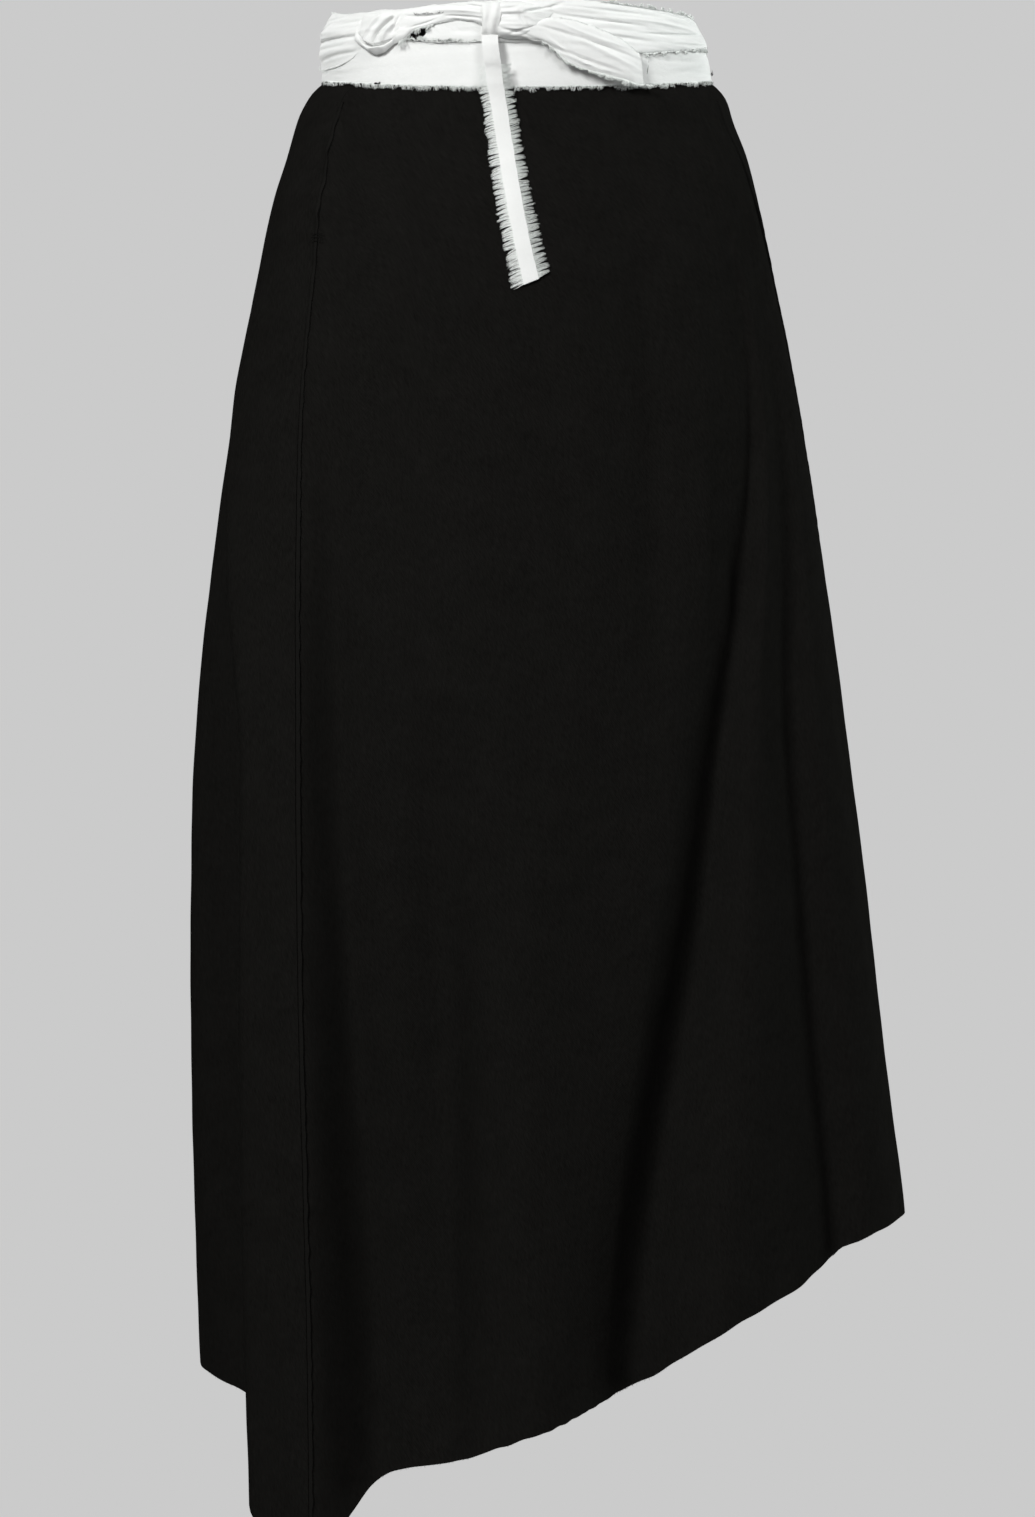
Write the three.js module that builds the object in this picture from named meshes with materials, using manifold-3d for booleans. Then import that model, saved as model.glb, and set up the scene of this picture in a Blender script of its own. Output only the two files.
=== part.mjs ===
// A long black skirt with a slanting raw hem, filled out as when worn, and the white raw-edged waistband
// and tie belt that hold it at the waist. The front faces -Y and +X is the viewer's right.
// The origin is the middle of the waist opening, level with the waist seam at the sides.

import * as THREE from 'three';
import { mergeVertices } from 'three/addons/utils/BufferGeometryUtils.js';
import Module from 'manifold-3d';

const wasm = await Module();
wasm.setup();

// Driving sizes, in millimetres
const clothThickness = 1.5;
const pieceGap = 0.3;
const bandHeight = 30;
const seamAllowance = 29; // how far the panels run up behind the band
const frontDip = 16.5; // the waist seam sits this much lower at the centre front
const backRise = 5;
const dipFadesBy = 250; // below this drop the rows are level
const hemPitch = 16; // spacing of the panels' columns at the hem
const ridgeWidth = 3;
const ridgeHeight = 1.2;
const innerRows = 4; // rows of the tie's inner face
const creaseDepth = 0.45; // share of the tie's thickness that its creases take away
const endStripWidth = 10; // the tie end's close-woven middle
const endThickness = 1.3;
const fringeStrip = 1; // width and thickness of the strips that carry frayed threads
const lockRadius = 0.42;
const lockSides = 3;

const blackCloth = { color: 0x131211, roughness: 0.86, metalness: 0 };
const blackEdge = { color: 0x1b1a19, roughness: 0.9, metalness: 0 };
const whiteCotton = { color: 0xeef0ee, roughness: 0.88, metalness: 0 };
const whiteThread = { color: 0xe2e5e3, roughness: 0.92, metalness: 0 };

// Half sizes of the skirt's plan at each drop below the waist seam, before the folds
const sectionRows = [
  { drop: -60, left: 117, right: 109, front: 92, back: 92 },
  { drop: -46, left: 121, right: 115, front: 92, back: 92 },
  { drop: -28, left: 128, right: 124, front: 92, back: 92 },
  { drop: -14, left: 130, right: 130, front: 92, back: 92 },
  { drop: 0, left: 129.4, right: 132.4, front: 92, back: 92 },
  { drop: 6, left: 136, right: 139, front: 93.5, back: 94 },
  { drop: 14, left: 141.5, right: 144, front: 95, back: 97 },
  { drop: 26, left: 147, right: 147.5, front: 97, back: 100 },
  { drop: 53, left: 155, right: 158, front: 102, back: 107 },
  { drop: 80, left: 164, right: 165, front: 107, back: 113 },
  { drop: 135, left: 176, right: 175, front: 114, back: 123 },
  { drop: 216, left: 192, right: 191, front: 120, back: 131 },
  { drop: 298, left: 203, right: 204, front: 125, back: 134 },
  { drop: 407, left: 214, right: 219, front: 132, back: 138 },
  { drop: 515, left: 219, right: 232, front: 139, back: 144 },
  { drop: 624, left: 220, right: 244.5, front: 146, back: 151 },
  { drop: 760, left: 217, right: 260, front: 154, back: 160 },
  { drop: 880, left: 213, right: 268, front: 160, back: 168 },
  { drop: 1000, left: 210, right: 278, front: 165, back: 174 },
];

// Crests, valleys and seams in order round the skirt. Each has its turn from the front, in degrees, at
// four levels, its lift off the plain section, in millimetres, at three, and the drop of the hem below it.
const levelDrops = { waist: 0, hip: 150, mid: 480, low: 880 };
const turnColumns = ['turnWaist', 'turnHip', 'turnMid', 'turnLow'];
const foldColumns = ['name', ...turnColumns, 'liftHip', 'liftMid', 'liftLow', 'hem'];
const foldRows = [
  ['left seam', -56, -49.3, -38.9, -35.9, 2, 15, 20, 977],
  ['left valley', -44, -39.1, -31.9, -26.9, -1, -9, -24, 929],
  ['left slope', -30, -28, -18, -10, 0, -1, -4, 914],
  ['centre crest', -14, -15.9, -4, 2.7, 1, 5, 10, 896],
  ['soft valley', 18, 18.5, 15.7, 9, -2, 0, 2, 884],
  ['soft crest', 36, 37.4, 24.9, 13, 2, 3, -10, 876],
  ['main valley', 50, 58.1, 37.2, 18.7, -3, -18, -28, 868],
  ['right crest', 55, 61.4, 43.4, 32.4, 1, 3, 10, 827],
  ['right valley', 60, 68, 56.2, 57, -1, -10, -14, 790],
  ['outer crest', 65, 75, 63, 63, 1, 5, 6, 776],
  ['right seam', 71, 83, 97, 100, 0, 0, 0, 764],
  ['back valley 1', 100, 108, 116, 119, 0, -9, -17, 768],
  ['back crest 1', 122, 128, 134, 136, 0, 6, 12, 775],
  ['back valley 2', 144, 148, 152, 154, 0, -7, -18, 790],
  ['back crest 2', 165, 168, 171, 172, 0, 6, 14, 800],
  ['back valley 3', 187, 190, 192, 193, 0, -9, -16, 818],
  ['back crest 3', 208, 210, 213, 214, 0, 7, 13, 838],
  ['back valley 4', 228, 231, 236, 238, 0, -8, -14, 855],
  ['left side', 248, 256, 265, 265, 0, 1, 2, 869],
  ['left hollow', 284, 278, 299, 300, -1, -20, -24, 893],
  ['left edge', 294, 284.6, 310.3, 311.2, 2, 20, 21, 957],
].map((values) => Object.fromEntries(foldColumns.map((column, i) => [column, values[i]])));
const foldCount = foldRows.length;
const leftSeam = 0;
const rightSeam = foldRows.findIndex((row) => row.name === 'right seam');

const radians = (degrees) => (degrees * Math.PI) / 180;
const clamp = (value, low, high) => Math.min(high, Math.max(low, value));
const mix = (a, b, t) => a + (b - a) * t;
const smooth = (t) => t * t * (3 - 2 * t);

// Even steps from 0 to 1
const shares = (steps) => Array.from({ length: steps + 1 }, (_, i) => i / steps);

// A steady number from 0 to 1 for each index, for uneven threads
const uneven = (index) => {
  const wave = Math.sin(index * 12.9898 + 4.1) * 43758.5453;
  return wave - Math.floor(wave);
};

// A slope that never makes a curve overshoot its points
const easySlope = (before, after) => (before * after > 0 ? (2 * before * after) / (before + after) : 0);

const hermite = (a, b, slopeA, slopeB, t) => {
  const t2 = t * t;
  const t3 = t2 * t;
  return a * (2 * t3 - 3 * t2 + 1) + slopeA * (t3 - 2 * t2 + t) + b * (3 * t2 - 2 * t3) + slopeB * (t3 - t2);
};

// A smooth curve through y at each x, level past its ends
function curveThrough(xs, ys) {
  const rate = xs.slice(1).map((x, i) => (ys[i + 1] - ys[i]) / (x - xs[i]));
  const slope = ys.map((_, i) => (i > 0 && i < rate.length ? easySlope(rate[i - 1], rate[i]) : 0));
  return (x) => {
    const at = clamp(x, xs[0], xs[xs.length - 1]);
    const i = clamp(xs.findIndex((edge) => edge > at) - 1, 0, rate.length - 1);
    const k = at >= xs[xs.length - 1] ? rate.length - 1 : i;
    const span = xs[k + 1] - xs[k];
    return hermite(ys[k], ys[k + 1], slope[k] * span, slope[k + 1] * span, (at - xs[k]) / span);
  };
}

// A smooth closed curve through one value for each fold; each lap adds the given amount
function curveRound(values, lap = 0) {
  const value = (i) => values[((i % foldCount) + foldCount) % foldCount] + lap * Math.floor(i / foldCount);
  const slope = (i) => easySlope(value(i) - value(i - 1), value(i + 1) - value(i));
  return (place) => {
    const i = Math.floor(place);
    return hermite(value(i), value(i + 1), slope(i), slope(i + 1), place - i);
  };
}

const sectionDrops = sectionRows.map((row) => row.drop);
const sectionCurve = (side) => curveThrough(sectionDrops, sectionRows.map((row) => row[side]));
const sectionCurves = {
  left: sectionCurve('left'),
  right: sectionCurve('right'),
  front: sectionCurve('front'),
  back: sectionCurve('back'),
};
const levels = Object.values(levelDrops);
const turnCurves = foldRows.map((row) => curveThrough(levels, turnColumns.map((column) => row[column])));
const liftCurves = foldRows.map((row) => curveThrough(levels, [0, row.liftHip, row.liftMid, row.liftLow]));
const hemDrop = curveRound(foldRows.map((row) => row.hem));

// A place round the skirt counts folds from the left seam: 0 is that seam and foldCount the same seam again
const roundAtDrop = new Map();
function round(drop) {
  if (!roundAtDrop.has(drop)) {
    roundAtDrop.set(drop, {
      turn: curveRound(turnCurves.map((curve) => curve(drop)), 360),
      lift: curveRound(liftCurves.map((curve) => curve(drop))),
    });
  }
  return roundAtDrop.get(drop);
}
const turnAt = (place, drop) => radians(round(drop).turn(place));
const liftAt = (place, drop) => round(drop).lift(place);

function placeOfTurn(turn, drop) {
  const first = turnAt(0, drop);
  const wanted = first + THREE.MathUtils.euclideanModulo(turn - first, 2 * Math.PI);
  let low = 0;
  let high = foldCount;
  for (let step = 0; step < 30; step++) {
    const middle = (low + high) / 2;
    if (turnAt(middle, drop) < wanted) low = middle;
    else high = middle;
  }
  return low;
}

// How far the waist seam stands above its level at the sides
function waistRise(turn) {
  const facing = Math.cos(turn);
  return facing > 0 ? -frontDip * facing ** 1.2 : backRise * (-facing) ** 1.2;
}

function bareCloth(place, drop) {
  const turn = turnAt(place, drop);
  const across = sectionCurves[Math.sin(turn) > 0 ? 'right' : 'left'](drop);
  const deep = sectionCurves[Math.cos(turn) > 0 ? 'front' : 'back'](drop);
  const normal = new THREE.Vector3(Math.sin(turn) / across, -Math.cos(turn) / deep, 0).normalize();
  const fade = 1 - smooth(clamp(drop / dipFadesBy, 0, 1));
  return new THREE.Vector3(across * Math.sin(turn), -deep * Math.cos(turn), waistRise(turn) * fade - drop)
    .addScaledVector(normal, liftAt(place, drop));
}

// The cloth's outer face, moved out along its own normal
function cloth(place, drop, out = 0) {
  const point = bareCloth(place, drop);
  if (out === 0) return point;
  const nearby = 0.004;
  const along = bareCloth(place + nearby, drop).sub(bareCloth(place - nearby, drop));
  const down = bareCloth(place, drop + 1).sub(bareCloth(place, drop - 1));
  return point.addScaledVector(along.cross(down).negate().normalize(), out);
}

// The same face near the front, by the distance from the middle, for what lies on it
function frontPoint(x, drop, out) {
  const across = sectionCurves[x > 0 ? 'right' : 'left'](drop);
  return cloth(placeOfTurn(Math.asin(x / across), drop), drop, out);
}

function geometryOf(points, faces) {
  const geometry = new THREE.BufferGeometry().setFromPoints(points);
  geometry.setIndex(faces.flat());
  return geometry;
}

// A closed wall between two grids of points. Both grids run left to right as seen from outside, top down.
function wall(outer, inner) {
  const rows = outer.length;
  const columns = outer[0].length;
  const points = [...outer.flat(), ...inner.flat()];
  const front = (row, column) => row * columns + column;
  const behind = (row, column) => rows * columns + front(row, column);
  const faces = [];
  const quad = (a, b, c, d) => faces.push([a, b, c], [a, c, d]);
  for (let row = 0; row < rows - 1; row++) {
    for (let column = 0; column < columns - 1; column++) {
      const corner = [[row, column], [row + 1, column], [row + 1, column + 1], [row, column + 1]];
      quad(...corner.map(([r, c]) => front(r, c)));
      quad(...corner.map(([r, c]) => behind(r, c)).reverse());
    }
    const end = columns - 1;
    quad(front(row, 0), behind(row, 0), behind(row + 1, 0), front(row + 1, 0));
    quad(front(row + 1, end), behind(row + 1, end), behind(row, end), front(row, end));
  }
  for (let column = 0; column < columns - 1; column++) {
    const foot = rows - 1;
    quad(front(0, column + 1), behind(0, column + 1), behind(0, column), front(0, column));
    quad(front(foot, column), behind(foot, column), behind(foot, column + 1), front(foot, column + 1));
  }
  return geometryOf(points, faces);
}

// Joins closed geometries into one closed body
function fuse(geometries) {
  const solids = geometries.map((geometry) => {
    const bare = geometry.clone();
    bare.deleteAttribute('normal');
    bare.deleteAttribute('uv');
    const merged = mergeVertices(bare, 1e-4);
    return new wasm.Manifold(new wasm.Mesh({
      numProp: 3,
      vertProperties: new Float32Array(merged.attributes.position.array),
      triVerts: new Uint32Array(merged.index.array),
    }));
  });
  const mesh = solids.reduce((all, next) => all.add(next)).getMesh();
  const geometry = new THREE.BufferGeometry();
  geometry.setAttribute('position', new THREE.Float32BufferAttribute(mesh.vertProperties, 3));
  geometry.setIndex([...mesh.triVerts]);
  return geometry;
}

const skirt = new THREE.Group();

function addPiece(name, geometry, finish) {
  const mesh = new THREE.Mesh(geometry, new THREE.MeshStandardMaterial({ ...finish, side: THREE.FrontSide }));
  mesh.name = name;
  skirt.add(mesh);
}

// Panels

// Rows keep set drops over the hips and share out the rest of the way to the hem
const hipDrops = [-14, 0, 6, 14, 26, 50, 80, 115, 160, 215];
const rowsBelowHip = 10;

// Behind the band the raw top edge rises once, where it shows through the gap under the tie
const topRise = { turn: -29, halfSpan: 13, height: 11 };

function topDrop(turn) {
  const away = Math.abs((turn * 180) / Math.PI - topRise.turn) / topRise.halfSpan;
  return -seamAllowance - topRise.height * (away < 1 ? smooth(1 - away) : 0);
}

function dropsAt(place) {
  const lastHip = hipDrops[hipDrops.length - 1];
  const below = shares(rowsBelowHip).slice(1).map((share) => mix(lastHip, hemDrop(place), share));
  const around = turnAt(place, 0);
  return [topDrop(around > Math.PI ? around - 2 * Math.PI : around), ...hipDrops, ...below];
}

// Places of the columns between two seams, about hemPitch apart at the hem
const spanSamples = 8;
const fewestColumns = 3;
const mostColumns = 9;

function columnPlaces(from, to) {
  const places = [];
  for (let fold = from; fold < to; fold++) {
    const samples = shares(spanSamples).map((share) => cloth(fold + share, hemDrop(fold + share)).setZ(0));
    const span = samples.slice(1).reduce((sum, point, i) => sum + point.distanceTo(samples[i]), 0);
    const steps = clamp(Math.round(span / hemPitch), fewestColumns, mostColumns);
    for (let step = 0; step < steps; step++) places.push(fold + step / steps);
  }
  return [...places, to];
}

// Moves a column's points a little towards the next column, to leave the gap at a seam
function towards(point, next, distance) {
  return point.clone().addScaledVector(next.clone().sub(point).normalize(), distance);
}

function panel(from, to) {
  const places = columnPlaces(from, to);
  const drops = places.map(dropsAt);
  const grid = (out) => drops[0].map((_, row) => {
    const line = places.map((place, column) => cloth(place, drops[column][row], out));
    const last = line.length - 1;
    const first = towards(line[0], line[1], pieceGap / 2);
    const end = towards(line[last], line[last - 1], pieceGap / 2);
    return [first, ...line.slice(1, last), end];
  });
  return wall(grid(0), grid(-clothThickness));
}

// A raised raw edge beside a seam, made from the panel's own rows moved out
function seamRidge(seam, side) {
  const firstRow = 4; // the ridge starts below the frayed edge of the band
  const places = columnPlaces(seam, seam + 1);
  const drops = dropsAt(seam).slice(firstRow, -1);
  const rail = (drop, share, out) => {
    const here = cloth(seam, drop, out);
    const next = cloth(side > 0 ? places[1] : seam - (places[1] - places[0]), drop, out);
    return towards(here, next, pieceGap + share * ridgeWidth);
  };
  const order = side > 0 ? [0, 1] : [1, 0];
  const grid = (out) => drops.map((drop) => order.map((share) => rail(drop, share, out)));
  return wall(grid(pieceGap + ridgeHeight), grid(pieceGap));
}

addPiece('front_panel', panel(leftSeam, rightSeam), blackCloth);
addPiece('back_panel', panel(rightSeam, leftSeam + foldCount), blackCloth);
addPiece('left_seam_ridge', seamRidge(leftSeam, 1), blackEdge);
addPiece('right_seam_ridge', seamRidge(rightSeam, 1), blackEdge);

// Waistband and tie belt. Each layer's inner face stands this far outside the black cloth.
const bandOut = pieceGap;
const tieOut = bandOut + clothThickness + 0.5; // a little more room, as its rows and the band's differ

// A point round the waist by its height above the seam's level at the sides. The plan there has no folds.
function waistPoint(degrees, height, out) {
  const turn = radians(degrees);
  const drop = waistRise(turn) - height;
  const across = sectionCurves[Math.sin(turn) > 0 ? 'right' : 'left'](drop);
  const deep = sectionCurves[Math.cos(turn) > 0 ? 'front' : 'back'](drop);
  const normal = new THREE.Vector3(Math.sin(turn) / across, -Math.cos(turn) / deep, 0).normalize();
  const point = new THREE.Vector3(across * Math.sin(turn), -deep * Math.cos(turn), height);
  return point.addScaledVector(normal, out);
}

// A closed body through loops of points, each running from its outer foot up over the top to its inner
// foot, taken in order round the waist. Without a cap pattern the last loop joins the first.
function loft(loops, capPattern) {
  const size = loops[0].length;
  const at = (loop, point) => (loop % loops.length) * size + (point % size);
  const faces = [];
  for (let loop = 0; loop < loops.length - (capPattern ? 1 : 0); loop++) {
    for (let point = 0; point < size; point++) {
      faces.push([at(loop, point), at(loop + 1, point + 1), at(loop, point + 1)]);
      faces.push([at(loop, point), at(loop + 1, point), at(loop + 1, point + 1)]);
    }
  }
  if (capPattern) {
    const last = (loops.length - 1) * size;
    const outline = capPattern.map(([out, height]) => new THREE.Vector2(out, height));
    for (const [a, b, c] of THREE.ShapeUtils.triangulateShape(outline, [])) {
      faces.push([a, b, c], [last + a, last + c, last + b]);
    }
  }
  return geometryOf(loops.flat(), faces);
}

// A strip round the waist. Its section lists each corner's share of the height and distance out.
function waistStrip(degrees, section, ring = false) {
  const loops = degrees.map((turn) => section(turn).map(([out, height]) => waistPoint(turn, height, out)));
  return loft(loops, ring ? null : section(degrees[0]));
}

function waistband() {
  const steps = 64;
  const section = (degrees) => {
    const foot = waistRise(radians(degrees));
    const outer = bandOut + clothThickness;
    const rise = [0, -hipDrops[0], bandHeight].map((height) => foot + height);
    return [...rise.map((height) => [outer, height]), ...rise.reverse().map((height) => [bandOut, height])];
  };
  return waistStrip(shares(steps).slice(1).map((share) => share * 360), section, true);
}

// The belt is one crumpled strip. Each stretch has its own table; heights are above the side level.
const tieStretches = {
  tie_wrap_left: {
    steps: 12,
    creases: [0.24, 0.5, 0.7],
    rows: [
      { turn: -89.8, top: 47, foot: 15, thick: 3.6 },
      { turn: -75, top: 44.5, foot: 12.5, thick: 3.4 },
      { turn: -60, top: 41, foot: 8.5, thick: 3.5 },
      { turn: -50.3, top: 39, foot: 6.5, thick: 4 },
    ],
  },
  tie_twist: {
    steps: 7,
    creases: [0.35, 0.62],
    rows: [
      { turn: -49.9, top: 39, foot: 8, thick: 4.6 },
      { turn: -45, top: 38, foot: 6, thick: 7 },
      { turn: -41, top: 37, foot: 9, thick: 6.4 },
      { turn: -36.4, top: 37, foot: 15, thick: 4.4 },
    ],
  },
  tie_strand: {
    steps: 11,
    creases: [0.3, 0.6],
    rows: [
      { turn: -36, top: 37.5, foot: 15.5, thick: 4 },
      { turn: -31.5, top: 38, foot: 24, thick: 3.2 },
      { turn: -27, top: 38.7, foot: 24.5, thick: 3.2 },
      { turn: -23, top: 39.2, foot: 12.8, thick: 3 },
      { turn: -10.1, top: 40.3, foot: 12.4, thick: 4.6 },
    ],
  },
  tie_wrap_right: {
    steps: 26,
    creases: [0.26, 0.52, 0.76],
    rows: [
      { turn: -9.8, top: 40.3, foot: 12.4, thick: 2.6 },
      { turn: 8, top: 41, foot: 12.4, thick: 2.6 },
      { turn: 25, top: 41.8, foot: 9, thick: 2.6 },
      { turn: 40, top: 40.8, foot: 8.7, thick: 2.7 },
      { turn: 60, top: 40.5, foot: 14, thick: 3.4 },
      { turn: 75, top: 41, foot: 18.5, thick: 3.2 },
      { turn: 89.8, top: 42, foot: 21, thick: 3.4 },
    ],
  },
  tie_wrap_back: {
    steps: 34,
    creases: [0.28, 0.5, 0.74],
    rows: [
      { turn: 90.2, top: 42, foot: 21, thick: 3.4 },
      { turn: 120, top: 44, foot: 19, thick: 3 },
      { turn: 150, top: 45.5, foot: 15.5, thick: 3.5 },
      { turn: 185, top: 45, foot: 17.5, thick: 3 },
      { turn: 215, top: 46, foot: 14.5, thick: 3.4 },
      { turn: 245, top: 47.5, foot: 17, thick: 3.1 },
      { turn: 269.8, top: 47, foot: 15, thick: 3.6 },
    ],
  },
};

// One curve along a table for each of its named columns
function curvesOf(rows, key, names) {
  const along = rows.map((row) => row[key]);
  return Object.fromEntries(names.map((name) => [name, curveThrough(along, rows.map((row) => row[name]))]));
}

function sizesAt(curves, at) {
  return Object.fromEntries(Object.entries(curves).map(([name, curve]) => [name, curve(at)]));
}

// The outer face swells between creases that wander a little along the belt
const creaseWander = 0.035;
const wandersAround = 9;

function creasedSection(size, creases, degrees) {
  const wander = creaseWander * Math.sin(radians(degrees) * wandersAround);
  const edges = [0, ...creases.map((crease) => crease + wander), 1];
  const thin = tieOut + size.thick * (1 - creaseDepth);
  const corners = [];
  edges.forEach((edge, i) => {
    corners.push([thin, mix(size.foot, size.top, edge)]);
    const middle = (edge + edges[i + 1]) / 2;
    if (i < edges.length - 1) corners.push([tieOut + size.thick, mix(size.foot, size.top, middle)]);
  });
  const inner = shares(innerRows).map((share) => [tieOut, mix(size.top, size.foot, share)]);
  return [...corners, ...inner];
}

function tieStretch({ steps, creases, rows }) {
  const curves = curvesOf(rows, 'turn', ['top', 'foot', 'thick']);
  const section = (degrees) => creasedSection(sizesAt(curves, degrees), creases, degrees);
  const from = rows[0].turn;
  const to = rows[rows.length - 1].turn;
  return waistStrip(shares(steps).map((share) => mix(from, to, share)), section);
}

// The knot is three soft lumps drawn into each other in front of the belt that runs behind it
const knotOut = tieOut + 2.6; // its round back meets the belt only at its middle
const knotLumps = [
  { x: -14, z: 26.8, halfWide: 9, halfDeep: 7.2, halfHigh: 12.6, grooves: 2 },
  { x: 0, z: 28, halfWide: 12.5, halfDeep: 6.4, halfHigh: 10.6, grooves: 3 },
  { x: 13, z: 29.5, halfWide: 12.2, halfDeep: 5.2, halfHigh: 9.4, grooves: 2 },
];

const grooveDepth = 0.07;
const lumpSides = 14;
const lumpRings = 8;

function knot() {
  return fuse(knotLumps.map((lump) => {
    const geometry = new THREE.SphereGeometry(1, lumpSides, lumpRings);
    const points = geometry.attributes.position;
    const centre = waistPoint(0, lump.z, knotOut + lump.halfDeep).setX(lump.x);
    for (let i = 0; i < points.count; i++) {
      const angle = Math.atan2(points.getX(i), points.getZ(i));
      const swell = 1 - grooveDepth * (1 - Math.cos(angle * lump.grooves * 2)) * (1 - Math.abs(points.getY(i)));
      points.setXYZ(
        i,
        centre.x + points.getX(i) * swell * lump.halfWide,
        centre.y - points.getZ(i) * swell * lump.halfDeep,
        centre.z + points.getY(i) * lump.halfHigh,
      );
    }
    return geometry;
  }));
}

// The shorter free end fans out to the right over the belt and the band
const tailRows = [
  { turn: 3, top: 16.4, foot: 12.4, out: 5.7, thick: 1.6 },
  { turn: 8, top: 19, foot: 11.5, out: 5.7, thick: 2 },
  { turn: 11, top: 24.5, foot: 6.5, out: 5.6, thick: 2.4 },
  { turn: 13, top: 26, foot: 0.5, out: 5.6, thick: 2.4 },
  { turn: 17, top: 24.5, foot: -4, out: 5.5, thick: 2 },
  { turn: 24.4, top: 20.5, foot: -8.5, out: 5.5, thick: 2 },
  { turn: 31, top: 14, foot: -11, out: 5.6, thick: 1.8 },
  { turn: 36.6, top: 6.8, foot: -12.5, out: 5.7, thick: 1.6 },
];
const tailSteps = 14;
const tailCurves = curvesOf(tailRows, 'turn', ['top', 'foot', 'out', 'thick']);

function tail() {
  const section = (degrees) => {
    const { top, foot, out, thick } = sizesAt(tailCurves, degrees);
    const swell = [1, 0.7, 1, 0.7, 1]; // two soft folds along it
    const face = swell.map((full, i) => [out + thick * full, mix(foot, top, i / (swell.length - 1))]);
    return [...face, ...shares(innerRows).map((share) => [out, mix(top, foot, share)])];
  };
  const from = tailRows[0].turn;
  const to = tailRows[tailRows.length - 1].turn;
  return waistStrip(shares(tailSteps).map((share) => mix(from, to, share)), section);
}

// The longer free end hangs over the front. Its rows give its middle by distance from the centre front,
// drop below the waist seam and distance off the cloth.
const endRows = [
  { drop: -31, x: -15.4, out: 7.8 },
  { drop: -18, x: -14.1, out: 3.2 },
  { drop: 0, x: -12.4, out: 2.2 },
  { drop: 16, x: -10, out: 0.9 },
  { drop: 36, x: -7.2, out: 0.5 },
  { drop: 77, x: -1.2, out: 0.5 },
  { drop: 117, x: 5.8, out: 0.5 },
  { drop: 137, x: 9.9, out: 0.5 },
];
const endCurves = curvesOf(endRows, 'drop', ['x', 'out']);
const endSlant = 0.17; // how much lower its left side is cut
const endTop = endRows[0].drop;
const endFoot = endRows[endRows.length - 1].drop;
const endSteps = 16;
const slantLength = 40; // the slant of the cut grows over this much of its foot

// A point of the hanging end: how far down it, how far right of its middle and how far off the cloth
function endPoint(drop, right, out) {
  const reach = 2;
  const lean = endCurves.x(drop + reach) - endCurves.x(drop - reach);
  const length = Math.hypot(lean, 2 * reach);
  const slant = endSlant * clamp(1 - (endFoot - drop) / slantLength, 0, 1);
  const lower = drop - right * (lean / length + slant);
  return frontPoint(endCurves.x(drop) + (right * 2 * reach) / length, lower, endCurves.out(drop) + out);
}

function endStrip() {
  const columns = shares(3).map((share) => (share - 0.5) * endStripWidth);
  const drops = shares(endSteps).map((share) => mix(endTop, endFoot, share));
  const grid = (out) => drops.map((drop) => columns.map((right) => endPoint(drop, right, out)));
  return wall(grid(endThickness), grid(0));
}

// Frayed threads gather into tapering locks on a narrow strip
function lock(root, tip) {
  const along = tip.clone().sub(root);
  const geometry = new THREE.ConeGeometry(lockRadius, along.length(), lockSides);
  const upwards = new THREE.Vector3(0, 1, 0);
  geometry.applyQuaternion(new THREE.Quaternion().setFromUnitVectors(upwards, along.clone().normalize()));
  const middle = root.clone().addScaledVector(along, 0.5);
  return geometry.translate(middle.x, middle.y, middle.z);
}

const endFringe = { locks: 42, length: 6.4, slope: 0.35, startsBelow: 8, stripSteps: 22 };

function endSideFringe(side) {
  const near = endStripWidth / 2 + pieceGap;
  const edges = side > 0 ? [near, near + fringeStrip] : [-near - fringeStrip, -near];
  const top = endTop + endFringe.startsBelow;
  const drops = shares(endFringe.stripSteps).map((share) => mix(top, endFoot - 0.5, share));
  const grid = (out) => drops.map((drop) => edges.map((right) => endPoint(drop, right, out)));
  const locks = shares(endFringe.locks - 1).map((share, i) => {
    const drop = mix(top + 1, endFoot - 1.5, share);
    const length = endFringe.length * (0.82 + 0.18 * uneven(i + side));
    const fall = length * endFringe.slope * (uneven(i * 3 + side) - 0.35);
    const root = endPoint(drop, side * (near + fringeStrip / 2), fringeStrip / 2);
    return lock(root, endPoint(drop + fall, side * (near + length), fringeStrip / 2));
  });
  return fuse([wall(grid(fringeStrip), grid(0)), ...locks]);
}

const bandFringe = { locks: 84, length: 3.2, stripSteps: 70 };

function waistbandFringe() {
  const ringPoint = (degrees, below, out) => waistPoint(degrees, waistRise(radians(degrees)) - below, out);
  const high = 0.35;
  const low = high + fringeStrip;
  const off = 1.1; // clear of the cloth where it starts to flare
  const loops = shares(bandFringe.stripSteps).slice(1).map((share) => {
    const corners = [[low, off + fringeStrip], [high, off + fringeStrip], [high, off], [low, off]];
    return corners.map(([below, out]) => ringPoint(share * 360, below, out));
  });
  const locks = shares(bandFringe.locks).slice(1).map((share, i) => {
    const degrees = share * 360;
    const length = bandFringe.length * (0.7 + 0.5 * uneven(i));
    const root = ringPoint(degrees, (high + low) / 2, off + fringeStrip / 2);
    return lock(root, ringPoint(degrees + uneven(i + 40) - 0.5, low + length, off + fringeStrip / 2));
  });
  return fuse([loft(loops), ...locks]);
}

const tailFringe = { locks: 20, length: 3 };

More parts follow.
